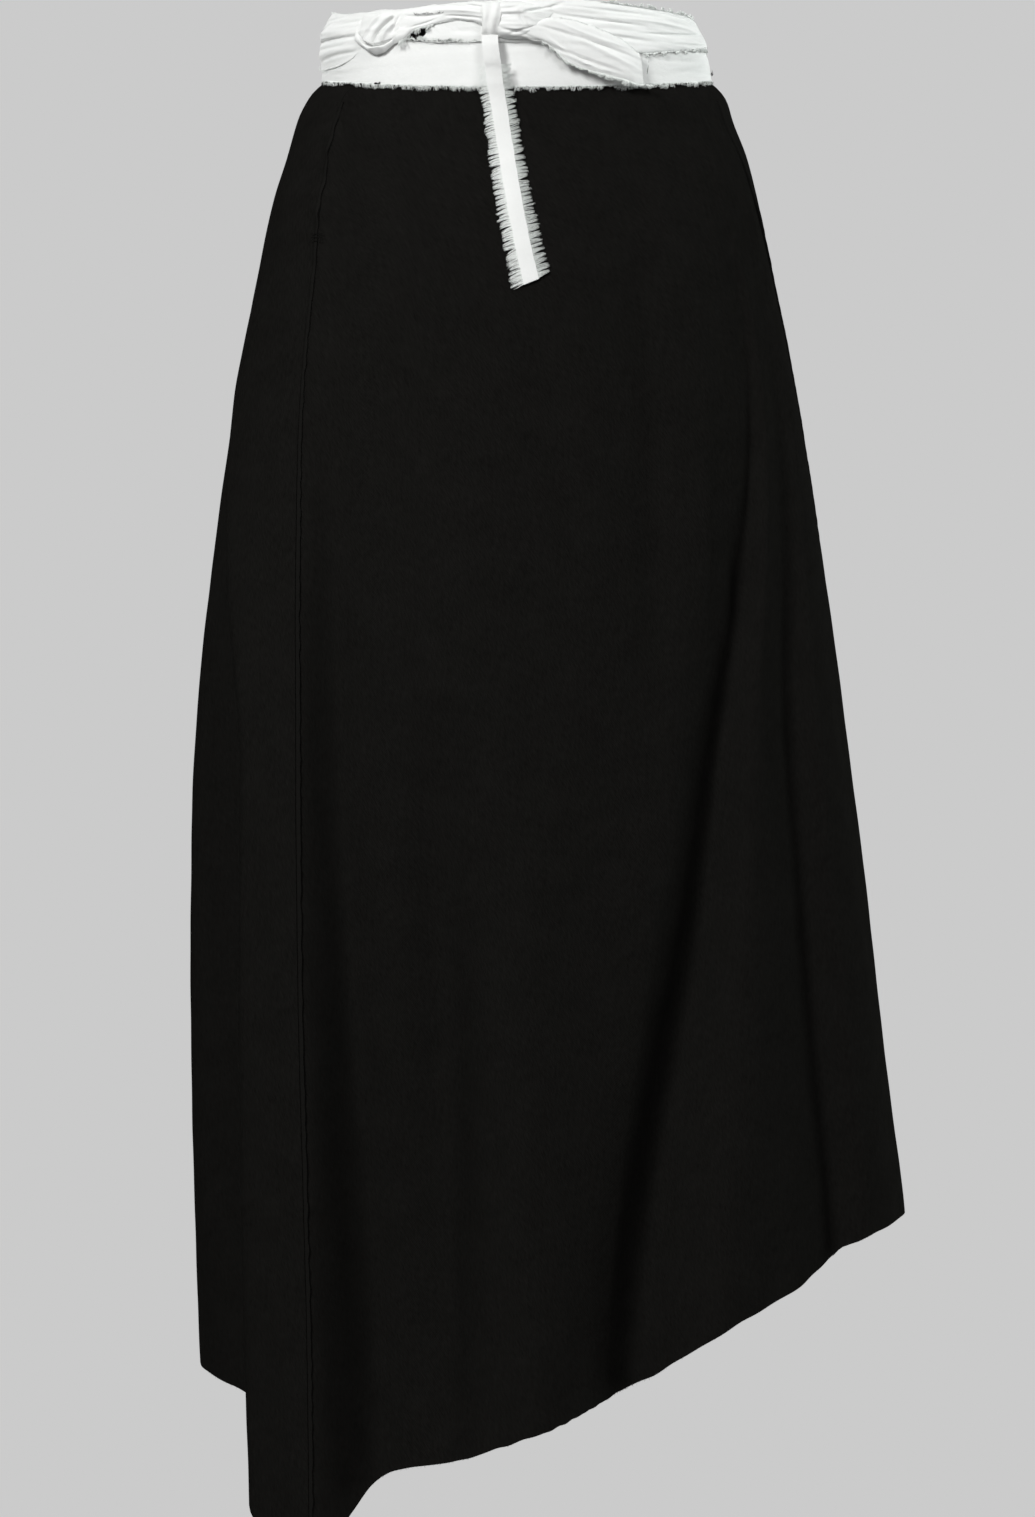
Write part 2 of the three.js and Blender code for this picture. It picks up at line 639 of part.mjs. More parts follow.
function tailEdgeFringe() {
  const from = tailRows[0].turn + 0.5;
  const to = tailRows[tailRows.length - 1].turn - 0.2;
  const edge = (degrees, below, out) =>
    waistPoint(degrees, tailCurves.foot(degrees) - 2 * pieceGap - below, tailCurves.out(degrees) + out);
  const square = [[1, 1], [0, 1], [0, 0], [1, 0]];
  const loops = shares(tailSteps).map((share) =>
    square.map(([below, out]) => edge(mix(from, to, share), below * fringeStrip, out * fringeStrip)));
  const locks = shares(tailFringe.locks - 1).map((share, i) => {
    const degrees = mix(from + 0.4, to - 0.4, share);
    const length = tailFringe.length * (0.7 + 0.4 * uneven(i + 7));
    const root = edge(degrees, fringeStrip / 2, fringeStrip / 2);
    return lock(root, edge(degrees + 1.2 * uneven(i) - 0.9, length, fringeStrip / 2));
  });
  return fuse([loft(loops, [[1, 0], [1, 1], [0, 1], [0, 0]]), ...locks]);
}

addPiece('waistband', waistband(), whiteCotton);
addPiece('waistband_fringe', waistbandFringe(), whiteThread);
for (const [name, stretch] of Object.entries(tieStretches)) addPiece(name, tieStretch(stretch), whiteCotton);
addPiece('tie_knot', knot(), whiteCotton);
addPiece('tie_tail', tail(), whiteCotton);
addPiece('tie_tail_fringe', tailEdgeFringe(), whiteThread);
addPiece('tie_end', endStrip(), whiteCotton);
addPiece('tie_end_fringe_left', endSideFringe(-1), whiteThread);
addPiece('tie_end_fringe_right', endSideFringe(1), whiteThread);

export default skirt;
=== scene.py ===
import math

import bmesh
import bpy
import numpy as np
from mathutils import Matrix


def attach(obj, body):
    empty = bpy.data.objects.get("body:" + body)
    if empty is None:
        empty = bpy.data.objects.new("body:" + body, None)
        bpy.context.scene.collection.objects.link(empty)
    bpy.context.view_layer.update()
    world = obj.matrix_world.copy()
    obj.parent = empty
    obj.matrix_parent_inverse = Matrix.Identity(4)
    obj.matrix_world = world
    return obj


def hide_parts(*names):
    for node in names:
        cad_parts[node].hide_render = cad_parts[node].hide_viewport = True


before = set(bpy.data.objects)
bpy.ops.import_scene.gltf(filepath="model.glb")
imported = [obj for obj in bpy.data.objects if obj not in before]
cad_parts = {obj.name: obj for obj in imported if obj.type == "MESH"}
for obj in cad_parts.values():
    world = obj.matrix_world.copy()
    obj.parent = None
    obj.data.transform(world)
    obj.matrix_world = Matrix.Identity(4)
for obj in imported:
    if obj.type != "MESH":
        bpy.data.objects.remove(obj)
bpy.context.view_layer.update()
print("frame loaded with", len(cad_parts), "nodes")

# Camera: level, in front of the skirt, far off with a long lens
shot = {
    "distance": 3.2,  # metres from the middle of the waist
    "aside": 0.0017,
    "height": -0.46,
    "shownHigh": 1.0316,  # metres that the picture shows from top to bottom at the waist's middle
    "film": 36,
}


def makeCamera():
    lens = bpy.data.cameras.new("camera")
    lens.sensor_width = shot["film"]
    lens.lens = shot["film"] * shot["distance"] / shot["shownHigh"]
    lens.clip_start, lens.clip_end = 0.1, 60
    camera = bpy.data.objects.new("camera", lens)
    camera.location = (shot["aside"], -shot["distance"], shot["height"])
    camera.rotation_euler = (math.radians(90), 0, 0)
    bpy.context.scene.collection.objects.link(camera)
    bpy.context.scene.camera = camera


makeCamera()

# The form of the cloth, in millimetres and degrees. Tables have one row for each section or fold.
form = {
    "frontDip": 16.5,  # the waist seam is this much lower at the centre front
    "backRise": 5,
    "dipFadesBy": 250,
    "clothThick": 1.3,
    "levels": (0, 150, 480, 880),
}
sectionTable = {
    "columns": ("drop", "left", "right", "front", "back"),
    "rows": (
        (-60, 117, 109, 92, 92),
        (-46, 121, 115, 92, 92),
        (-28, 128, 124, 92, 92),
        (-14, 130, 130, 92, 92),
        (0, 129.4, 132.4, 92, 92),
        (6, 136, 139, 93.5, 94),
        (14, 141.5, 144, 95, 97),
        (26, 147, 147.5, 97, 100),
        (53, 155, 158, 102, 107),
        (80, 164, 165, 107, 113),
        (135, 176, 175, 114, 123),
        (216, 192, 191, 120, 131),
        (298, 203, 204, 125, 134),
        (407, 214, 219, 132, 138),
        (515, 219, 232, 139, 144),
        (624, 220, 244.5, 146, 151),
        (760, 217, 260, 154, 160),
        (880, 213, 268, 160, 168),
        (1000, 210, 278, 165, 174),
    ),
}
foldTable = {
    "columns": ("name", "waist", "hip", "mid", "low", "liftHip", "liftMid", "liftLow", "hem"),
    "rows": (
        ("left seam", -56, -49.3, -38.9, -35.9, 2, 15, 20, 977),
        ("left valley", -44, -39.1, -31.9, -26.9, -1, -9, -24, 929),
        ("left slope", -30, -28, -18, -10, 0, -1, -4, 914),
        ("centre crest", -14, -15.9, -4, 2.7, 1, 5, 10, 896),
        ("soft valley", 18, 18.5, 15.7, 9, -2, 0, 2, 884),
        ("soft crest", 36, 37.4, 24.9, 13, 2, 3, -10, 876),
        ("main valley", 50, 58.1, 37.2, 18.7, -3, -18, -28, 868),
        ("right crest", 55, 61.4, 43.4, 32.4, 1, 3, 10, 827),
        ("right valley", 60, 68, 56.2, 57, -1, -10, -14, 790),
        ("outer crest", 65, 75, 63, 63, 1, 5, 6, 776),
        ("right seam", 71, 83, 97, 100, 0, 0, 0, 764),
        ("back valley 1", 100, 108, 116, 119, 0, -9, -17, 768),
        ("back crest 1", 122, 128, 134, 136, 0, 6, 12, 775),
        ("back valley 2", 144, 148, 152, 154, 0, -7, -18, 790),
        ("back crest 2", 165, 168, 171, 172, 0, 6, 14, 800),
        ("back valley 3", 187, 190, 192, 193, 0, -9, -16, 818),
        ("back crest 3", 208, 210, 213, 214, 0, 7, 13, 838),
        ("back valley 4", 228, 231, 236, 238, 0, -8, -14, 855),
        ("left side", 248, 256, 265, 265, 0, 1, 2, 869),
        ("left hollow", 284, 278, 299, 300, -1, -20, -24, 893),
        ("left edge", 294, 284.6, 310.3, 311.2, 2, 20, 21, 957),
    ),
}
foldCount = len(foldTable["rows"])
rightSeamPlace = 10


def column(table, name):
    where = table["columns"].index(name)
    return np.array([row[where] for row in table["rows"]], float)


def alike(*values):
    return np.broadcast_arrays(*(np.asarray(value, float) for value in values))


def smooth(t):
    t = np.clip(t, 0, 1)
    return t * t * (3 - 2 * t)


def unit(v):
    return v / np.maximum(np.linalg.norm(v, axis=-1, keepdims=True), 1e-12)


def easySlope(before, after):
    same = before * after > 0
    return np.where(same, 2 * before * after / np.where(same, before + after, 1), 0)


def hermite(a, b, slopeA, slopeB, t):
    t2, t3 = t * t, t * t * t
    return a * (2 * t3 - 3 * t2 + 1) + slopeA * (t3 - 2 * t2 + t) + b * (3 * t2 - 2 * t3) + slopeB * (t3 - t2)


# A smooth curve through the values, level past its ends
def curveThrough(xs, ys):
    xs, ys = np.asarray(xs, float), np.asarray(ys, float)
    gaps = np.diff(xs).reshape(-1, *[1] * (ys.ndim - 1))
    rates = np.diff(ys, axis=0) / gaps
    slopes = np.zeros_like(ys)
    slopes[1:-1] = easySlope(rates[:-1], rates[1:])

    def at(x):
        x = np.clip(np.asarray(x, float), xs[0], xs[-1])
        k = np.clip(np.searchsorted(xs, x, side="right") - 1, 0, len(xs) - 2)
        span = xs[k + 1] - xs[k]
        t = (x - xs[k]) / span
        if ys.ndim > 1:
            span, t = span[..., None], t[..., None]
        return hermite(ys[k], ys[k + 1], slopes[k] * span, slopes[k + 1] * span, t)

    return at


# A table's columns as smooth curves over its first column
def curvesOf(columns, rows):
    first, *others = zip(*rows)
    return {name: curveThrough(first, values) for name, values in zip(columns[1:], others)}


# The same round the folds: a place counts folds from the left seam
def curveRound(values, place, lap=0):
    i = np.floor(place).astype(int)

    def value(j):
        laps, k = np.divmod(j, foldCount)
        return np.take_along_axis(values, k[..., None], -1)[..., 0] + lap * laps

    before, a, b, after = (value(i + step) for step in (-1, 0, 1, 2))
    return hermite(a, b, easySlope(a - before, b - a), easySlope(b - a, after - b), place - i)


section = curvesOf(sectionTable["columns"], sectionTable["rows"])
turnCurve = curveThrough(form["levels"], [column(foldTable, name) for name in ("waist", "hip", "mid", "low")])
liftRows = [np.zeros(foldCount)] + [column(foldTable, name) for name in ("liftHip", "liftMid", "liftLow")]
liftCurve = curveThrough(form["levels"], liftRows)


def hemDrop(place):
    place = np.asarray(place, float)
    return curveRound(np.broadcast_to(column(foldTable, "hem"), place.shape + (foldCount,)), place)


def turnAt(place, drop):
    place, drop = alike(place, drop)
    return np.radians(curveRound(turnCurve(drop), place, 360))


def waistRise(turn):
    facing = np.cos(turn)
    return np.where(facing > 0, -form["frontDip"], form["backRise"]) * np.abs(facing) ** 1.2


def planAt(turn, drop):
    across = np.where(np.sin(turn) > 0, section["right"](drop), section["left"](drop))
    deep = np.where(np.cos(turn) > 0, section["front"](drop), section["back"](drop))
    normal = unit(np.stack([np.sin(turn) / across, -np.cos(turn) / deep, np.zeros_like(turn)], -1))
    return across * np.sin(turn), -deep * np.cos(turn), normal


def bareCloth(place, drop):
    place, drop = alike(place, drop)
    turn = turnAt(place, drop)
    x, y, normal = planAt(turn, drop)
    fade = 1 - smooth(drop / form["dipFadesBy"])
    lift = curveRound(liftCurve(drop), place)
    return np.stack([x, y, waistRise(turn) * fade - drop], -1) + normal * lift[..., None]


def clothNormal(place, drop):
    along = bareCloth(place + 0.004, drop) - bareCloth(place - 0.004, drop)
    down = bareCloth(place, drop + 1) - bareCloth(place, drop - 1)
    return unit(np.cross(down, along))


# A seeded, smooth unevenness from -1 to 1. Its waves are longer where the stretch is larger.
def softNoise(points, wavelength, seed, stretch=(1, 1, 1)):
    draws = np.random.default_rng(seed)
    total = 0
    for wave in range(7):
        way = unit(draws.normal(size=3)) / np.array(stretch)
        size = wavelength * draws.uniform(0.7, 1.5)
        total = total + np.sin(points @ way * 2 * math.pi / size + draws.uniform(0, 2 * math.pi))
    return total / 4


def wavy(points, height, wavelength, seed, stretch=(1, 1, 1)):
    return height * softNoise(points, wavelength, seed, stretch)


# Listed creases: each runs between two points and is a soft ridge, or a trough where its depth is
# below 0. Its far side is narrower where lip is below 1, so that it reads as a turned fold.
creaseColumns = ("turnA", "downA", "turnB", "downB", "bow", "width", "depth", "lip")


def creaseLift(turn, down, rows, perDegree):
    total = np.zeros(np.broadcast(turn, down).shape)
    for row in rows:
        crease = dict(zip(creaseColumns, row))
        x = ((turn - crease["turnA"] + 180) % 360 - 180) * perDegree
        y = down - crease["downA"]
        dx = (crease["turnB"] - crease["turnA"]) * perDegree
        dy = crease["downB"] - crease["downA"]
        length = math.hypot(dx, dy)
        along = np.clip((x * dx + y * dy) / length**2, 0, 1)
        across = (x * dy - y * dx) / length - crease["bow"] * 4 * along * (1 - along)
        width = np.where(across > 0, crease["width"], crease["width"] * crease["lip"])
        total = total + crease["depth"] * np.exp(-((across / width) ** 2)) * np.sin(math.pi * along) ** 0.7
    return total


# Mesh making. A part is its points and a list of face sets: corner numbers, and the corners' places on the
# flat cloth. All are in millimetres.
def gridFaces(rows, columns, ring):
    r, c = np.meshgrid(np.arange(rows - 1), np.arange(columns - 1 + ring), indexing="ij")
    r, c = r.ravel(), c.ravel()
    return np.stack([r, r + 1, r + 1, r], 1), np.stack([c, c, c + 1, c + 1], 1)


def lengths(grid, axis):
    steps = np.linalg.norm(np.diff(grid, axis=axis), axis=-1)
    start = np.zeros_like(np.take(steps, [0], axis=axis))
    return np.concatenate([start, np.cumsum(steps, axis=axis)], axis=axis)


# A closed wall between an outer and an inner grid, both with rows down and columns along
def wallPart(outer, inner, ring=False):
    rows, columns = outer.shape[:2]
    shown = np.concatenate([outer, outer[:, :1]], 1) if ring else outer
    along = lengths(shown, 1)
    flat = np.stack([along - along[:, [along.shape[1] // 2]], -lengths(shown, 0)], -1)
    r, c = gridFaces(rows, columns, ring)
    front = r * columns + c % columns
    quads, corners = [front, front[:, ::-1] + rows * columns], [flat[r, c], flat[r, c][:, ::-1]]
    down, across = np.arange(rows), np.arange(columns + ring)
    rims = [(0 * across + row, across) for row in (0, rows - 1)]
    if not ring:
        rims += [(down, 0 * down + column) for column in (0, columns - 1)]
    for r, c in rims:
        edge, places = r * columns + c % columns, flat[r, c]
        pair = np.stack([edge[:-1], edge[1:]], 1)
        quads.append(np.concatenate([pair, pair[:, ::-1] + rows * columns], 1))
        corners.append(np.stack([places[:-1], places[1:], places[1:], places[:-1]], 1))
    points = np.concatenate([outer.reshape(-1, 3), inner.reshape(-1, 3)])
    return points, [(np.concatenate(quads), np.concatenate(corners))]


# A closed body through loops of points, capped at both ends unless the loops come back to the first
def loftPart(loops, closed=False):
    count, size = loops.shape[:2]
    turned = np.concatenate([loops, loops[:, :1]], 1)
    turned = np.concatenate([turned, turned[:1]]) if closed else turned
    flat = np.stack([lengths(turned, 0), lengths(turned, 1)], -1)
    r, c = gridFaces(count + 1 if closed else count, size, True)
    faces = [((r % count) * size + c % size, flat[r, c])]
    points = loops.reshape(-1, 3)
    if not closed:
        a = np.arange(size)
        for loop in (0, count - 1):
            middle = np.full(size, len(points))
            points = np.concatenate([points, loops[loop].mean(0, keepdims=True)])
            fan = np.stack([loop * size + a, loop * size + (a + 1) % size, middle], 1)
            faces.append((fan, np.stack([flat[loop, a], flat[loop, a + 1], flat[loop, a]], 1)))
    return points, faces


# Thin threads with three sides, as one part. Each is a row of points, and it tapers to its tip.
def threadPart(threads, radius):
    count, knots = threads.shape[:2]
    ways = unit(np.gradient(threads, axis=1))
    side = unit(np.cross(ways, np.array([0.31, 0.17, 0.93])))
    other = np.cross(ways, side)
    taper = np.linspace(1, 0.35, knots)[None, :, None] * np.reshape(radius, (-1, 1, 1))
    rim = []
    for corner in range(3):
        angle = corner * 2 * math.pi / 3
        rim.append(threads + (side * math.cos(angle) + other * math.sin(angle)) * taper)
    points = np.stack(rim, 2).reshape(-1, 3)
    start = np.arange(count)[:, None, None] * knots * 3
    k = np.arange(knots - 1)[None, :, None] * 3
    c = np.arange(3)[None, None, :]
    after = (c + 1) % 3
    here = start + k
    quads = np.stack([here + c, here + after, here + 3 + after, here + 3 + c], -1).reshape(-1, 4)
    root = start[:, 0, 0]
    tip = root + (knots - 1) * 3
    ends = np.concatenate([np.stack([root + 2, root + 1, root], 1), np.stack([tip, tip + 1, tip + 2], 1)])
    return points, [(quads, np.zeros((len(quads), 4, 2))), (ends, np.zeros((len(ends), 3, 2)))]


def addPiece(name, parts, material, nodes=()):
    points, faces, flat = [], [], []
    for place, faceSets in parts:
        before = sum(len(row) for row in points)
        points.append(place / 1000)
        for corners, flatCorners in faceSets:
            faces += (corners + before).tolist()
            flat.append(flatCorners.reshape(-1, 2) / 1000)
    mesh = bpy.data.meshes.new(name)
    mesh.from_pydata(np.concatenate(points).tolist(), [], faces)
    layer = mesh.uv_layers.new(name="cloth")
    layer.data.foreach_set("uv", np.concatenate(flat).astype(np.float32).ravel())
    work = bmesh.new()
    work.from_mesh(mesh)
    bmesh.ops.recalc_face_normals(work, faces=work.faces)
    work.to_mesh(mesh)
    work.free()
    mesh.polygons.foreach_set("use_smooth", [True] * len(mesh.polygons))
    mesh.set_sharp_from_angle(angle=math.radians(60))
    mesh.materials.append(material)
    piece = bpy.data.objects.new(name, mesh)
    bpy.context.scene.collection.objects.link(piece)
    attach(piece, "root")
    if nodes:
        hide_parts(*nodes)
    print("made", name, "with", len(mesh.loops) - 2 * len(mesh.polygons), "triangles")
    return piece


# Materials. A Wire is a socket in a material: arithmetic on it adds the nodes that work it out.
class Wire:
    def __init__(self, tree, socket=None):
        self.tree = tree
        self.socket = socket

    def node(self, kind, settings=None, inputs=None, output=0):
        made = self.tree.nodes.new(kind)
        for name, value in (settings or {}).items():
            setattr(made, name, value)
        for name, value in (inputs or {}).items():
            if isinstance(value, Wire):
                self.tree.links.new(value.socket, made.inputs[name])
            else:
                made.inputs[name].default_value = value
        return Wire(self.tree, None if output is None else made.outputs[output])

    def maths(self, operation, first, second):
        kinds = {x.socket.type for x in (first, second) if isinstance(x, Wire)}
        if "RGBA" in kinds:
            full = [x if isinstance(x, Wire) else (x, x, x, 1) for x in (first, second)]
            settings = {"data_type": "RGBA", "blend_type": operation}
            return self.node("ShaderNodeMix", settings, {0: 1, 6: full[0], 7: full[1]}, 2)
        if "VECTOR" in kinds:
            full = [x if isinstance(x, Wire) else (x, x, x) for x in (first, second)]
            return self.node("ShaderNodeVectorMath", {"operation": operation}, {0: full[0], 1: full[1]})
        return self.node("ShaderNodeMath", {"operation": operation}, {0: first, 1: second})

    def __add__(self, other):
        return self.maths("ADD", self, other)

    def __sub__(self, other):
        return self.maths("SUBTRACT", self, other)

    def __rsub__(self, other):
        return self.maths("SUBTRACT", other, self)

    def __mul__(self, other):
        return self.maths("MULTIPLY", self, other)

    def sine(self):
        return self.node("ShaderNodeMath", {"operation": "SINE"}, {0: self})

    def noise(self, detail):
        return self.node("ShaderNodeTexNoise", {}, {"Vector": self, "Detail": detail})

    def bump(self, strength, distance):
        return self.node("ShaderNodeBump", {}, {"Strength": strength, "Distance": distance, "Height": self})

    __radd__ = __add__
    __rmul__ = __mul__


def newFinish(name):
    material = bpy.data.materials.new(name)
    material.use_nodes = True
    material.node_tree.nodes.clear()
    return material, Wire(material.node_tree)


def closeFinish(start, shader):
    start.node("ShaderNodeOutputMaterial", {}, {"Surface": shader}, None)


def clothShader(start, colour, roughness, normal, constants):
    inputs = {"Base Color": colour, "Roughness": roughness, "Normal": normal}
    closeFinish(start, start.node("ShaderNodeBsdfPrincipled", {}, {**inputs, **constants}))


def mixColours(start, share, first, second):
    return start.node("ShaderNodeMix", {"data_type": "RGBA"}, {0: share, 6: first, 7: second}, 2)


# A place on the flat cloth, and how far it lies across and down
def clothPlace(start):
    place = start.node("ShaderNodeTexCoord", output="UV")
    return place, *(start.node("ShaderNodeSeparateXYZ", {}, {0: place}, way) for way in "XY")


def blend(waves, shares):
    return sum(waves[name] * share for name, share in shares.items())


# Pitches and bump heights are in metres, and rates are waves of a noise in a metre. The shares say how much
# of each wave goes into the shade, the bumps and the roughness.
blackFinish = {
    "name": "black_twill_cloth",
    "colours": ((0.0042, 0.0040, 0.0037, 1), (0.0140, 0.0134, 0.0124, 1)),
    "twillPitch": 0.0011,
    "twillSlope": 1.15,
    "slubRate": 260,
    "streakRates": (220, 14, 1),
    "cloudRate": 9,
    "brush": {"slope": 0.6, "acrossRate": 190, "alongRate": 30},
    "shadeShares": {"cloudy": 0.25, "streak": 0.35, "brush": 0.75, "ribs": 0.12, "slubs": 0.2},
    "shadeFrom": -0.45,
    "bumpShares": {"ribs": 0.5, "slubs": 0.7, "streak": 0.6},
    "bump": (0.35, 0.00012),
    "roughness": 0.62,
    "roughShares": {"slubs": 0.12, "ribs": -0.03},
    "thread": {
        "name": "black_raw_edge",
        "colours": ((0.0036, 0.0035, 0.0033, 1), (0.0125, 0.0120, 0.0111, 1)),
        "rate": 400,
        "bump": (0.3, 0.0001),
        "roughness": (0.7, 0.1),
    },
    "constants": {"Specular IOR Level": 0.0},
}
whiteFinish = {
    "name": "white_cotton_cloth",
    "colours": ((0.87, 0.872, 0.868, 1), (0.77, 0.777, 0.768, 1)),
    "threadPitch": 0.0009,
    "slubRate": 320,
    "crumpleRate": 70,
    "cloudRate": 18,
    "shadeShares": {"cloudy": 0.55, "crumple": 0.25, "weave": 0.05},
    "shadeFrom": 0.05,
    "bumpShares": {"weave": 0.25, "slubs": 0.35, "crumple": 1.3},
    "bump": (0.45, 0.00035),
    "roughness": 0.82,
    "roughShares": {"slubs": 0.1},
    "thread": {
        "name": "white_cotton_thread",
        "colours": ((0.86, 0.87, 0.86, 1), (0.70, 0.73, 0.71, 1)),
        "rate": 300,
        "bump": (0.2, 0.0001),
        "roughness": (0.85, 0.05),
    },
    "constants": {"Specular IOR Level": 0.25, "Sheen Weight": 0.12, "Sheen Roughness": 0.5},
}


def blackWaves(start):
    place, across, down = clothPlace(start)
    ribRate = 2 * math.pi / blackFinish["twillPitch"]
    streaks = start.node("ShaderNodeMapping", {}, {"Vector": place, "Scale": blackFinish["streakRates"]})
    turned = blackFinish["brush"]
    brushAcross = (across + down * turned["slope"]) * turned["acrossRate"]
    brushAlong = (down - across * turned["slope"]) * turned["alongRate"]
    return {
        "ribs": ((across + down * blackFinish["twillSlope"]) * ribRate).sine(),
        "slubs": (place * blackFinish["slubRate"]).noise(3),
        "streak": streaks.noise(4),
        "cloudy": (place * blackFinish["cloudRate"]).noise(2),
        "brush": start.node("ShaderNodeCombineXYZ", {}, {0: brushAcross, 1: brushAlong}).noise(3),
    }


def whiteWaves(start):
    place, across, down = clothPlace(start)
    rate = 2 * math.pi / whiteFinish["threadPitch"]
    return {
        "weave": (across * rate).sine() * (down * rate).sine(),
        "slubs": (place * whiteFinish["slubRate"]).noise(3),
        "crumple": (place * whiteFinish["crumpleRate"]).noise(5),
        "cloudy": (place * whiteFinish["cloudRate"]).noise(3),
    }


def clothFinish(finish, makeWaves):
    material, start = newFinish(finish["name"])
    waves = makeWaves(start)
    colour = mixColours(start, blend(waves, finish["shadeShares"]) + finish["shadeFrom"], *finish["colours"])
    normal = blend(waves, finish["bumpShares"]).bump(*finish["bump"])
    roughness = finish["roughness"] + blend(waves, finish["roughShares"])
    clothShader(start, colour, roughness, normal, finish["constants"])
    return material


def threadFinish(finish):
    look = finish["thread"]
    material, start = newFinish(look["name"])
    cloudy = (start.node("ShaderNodeTexCoord", output="Object") * look["rate"]).noise(2)
    least, more = look["roughness"]
    colour = mixColours(start, cloudy, *look["colours"])
    clothShader(start, colour, least + cloudy * more, cloudy.bump(*look["bump"]), finish["constants"])
    return material


twill, rawBlack = clothFinish(blackFinish, blackWaves), threadFinish(blackFinish)
cotton, thread = clothFinish(whiteFinish, whiteWaves), threadFinish(whiteFinish)
print("materials ready")

# Black cloth: the creases' turns are in degrees and their drops in millimetres
panels = {
    "columns": {"front_panel": 190, "back_panel": 214},
    "rowsAtTop": 18,
    "rowsBelow": 186,
    "closeRowsTo": 34,
    "evenAt": 700,  # the drop at which the columns are evenly apart
    "edgeSetIn": 0.15,
    "topDrop": -29,
    "topRise": {"turn": -29, "halfSpan": 13, "height": 11},
    "perDegree": 3.0,
    "broadWaves": (0.8, 75, 3, (1, 1, 3.2)),  # height, length, seed and stretch
    "fineWaves": (0.3, 24, 5, (1, 1, 2.2)),
    "hemWaves": (1.6, 42, 8, (1, 1, 6)),
    "hemWavesHigh": 55,
    "smoothTo": 2,
    "unevenFrom": 28,
    "creases": (
        (-54.6, 140, -49.6, 320, 1.5, 4.5, 1.2, 1),
        (-57.5, 12, -50.5, 34, 1, 4, -1.5, 1),
        (-58.5, 34, -50, 58, -1, 4.5, 1.5, 0.6),
        (-57.5, 58, -49.5, 76, 1, 4, -1.5, 1),
        (-57.5, 78, -49, 98, 0.5, 4.5, 1.3, 0.7),
        (-56, 112, -48, 134, 0.5, 4, -1.2, 1),
        (-48, 20, -40, 190, 3, 12, -0.9, 1),
        (-24, 16, -30, 260, 5, 16, 0.8, 1),
        (-8, 120, -14, 420, -6, 18, -1, 1),
        (30, 14, 22.5, 540, 2, 13, -6.5, 1),
        (15.5, 30, 11.5, 500, 2, 11, 2.8, 1),
        (41.5, 110, 33, 440, 3, 8, 2.4, 0.8),
        (39, 250, 50, 430, 5, 13, -1.6, 0.6),
        (46, 30, 55, 160, 2, 7, 1, 0.7),
        (57, 14, 64, 90, 1, 5, -0.9, 1),
        (66, 12, 73, 120, 1, 6, 0.9, 1),
        (8, 300, 4, 620, 2, 12, 1.6, 1),
        (4, 480, 3.5, 980, 1, 13, 3, 1),
        (-13.5, 420, -14.5, 990, 1, 19, -19, 1),
        (40, 560, 31, 800, 5, 12, 1.3, 0.6),
        (74, 300, 78, 720, 6, 14, -1.3, 1),
        (98, 30, 104, 230, 3, 9, 1.1, 0.8),
        (112, 90, 118, 480, -5, 15, -3.4, 1),
        (126, 20, 131, 180, 3, 8, 0.9, 1),
        (138, 150, 146, 240, -3, 8, -1.1, 0.7),
        (150, 140, 147, 600, 6, 15, -3.2, 0.8),
        (158, 18, 163, 150, 3, 8, -0.9, 1),
        (172, 130, 186, 175, 4, 7, -1, 0.7),
        (176, 360, 180, 800, -7, 17, -4.4, 1),
        (190, 120, 206, 150, -3, 7, 0.9, 0.7),
        (199, 160, 203, 700, 6, 15, 3.4, 1),
        (216, 20, 212, 210, -3, 9, -1.1, 1),
        (224, 300, 222, 780, 7, 15, -4, 0.7),
        (236, 60, 232, 330, 4, 11, 1.2, 1),
        (250, 180, 248, 640, -6, 15, -3, 1),
        (262, 30, 258, 190, 3, 8, 1, 0.8),
        (272, 320, 276, 820, 7, 14, 2.6, 1),
    ),
}


def topDrop(turn):
    rise = panels["topRise"]
    away = np.abs((np.degrees(turn) - rise["turn"] + 180) % 360 - 180) / rise["halfSpan"]
    return panels["topDrop"] - rise["height"] * smooth(1 - away)


# The plain form with its creases and waves. Out is how far the point stands off the cloth's outer side.
def cloth(place, drop, out=0):
    place, drop = alike(place, drop)
    point = bareCloth(place, drop)
    lift = creaseLift(np.degrees(turnAt(place, drop)), drop, panels["creases"], panels["perDegree"])
    lift = lift + wavy(point, *panels["broadWaves"]) + wavy(point, *panels["fineWaves"])
    aboveHem = smooth((hemDrop(place) - drop) / panels["hemWavesHigh"])
    lift = lift + (1 - aboveHem) * wavy(point, *panels["hemWaves"])
    even, uneven = panels["smoothTo"], panels["unevenFrom"]
    off = out + lift * smooth((drop - even) / (uneven - even))
    return point + clothNormal(place, drop) * np.reshape(off, np.shape(off) + (1,))


def evenPlaces(first, last, count, drop):
    fine = np.linspace(first, last, 1200)
    run = lengths(bareCloth(fine, np.minimum(drop, hemDrop(fine)))[None], 1)[0]
    return np.interp(np.linspace(0, run[-1], count), run, fine)


hem = {"perFold": 34, "waves": (0.6, 9, 12)}


def raggedHem(place):
    line = np.stack([place * hem["perFold"], 0 * place, 0 * place], -1)
    return hemDrop(place) + wavy(line, *hem["waves"])


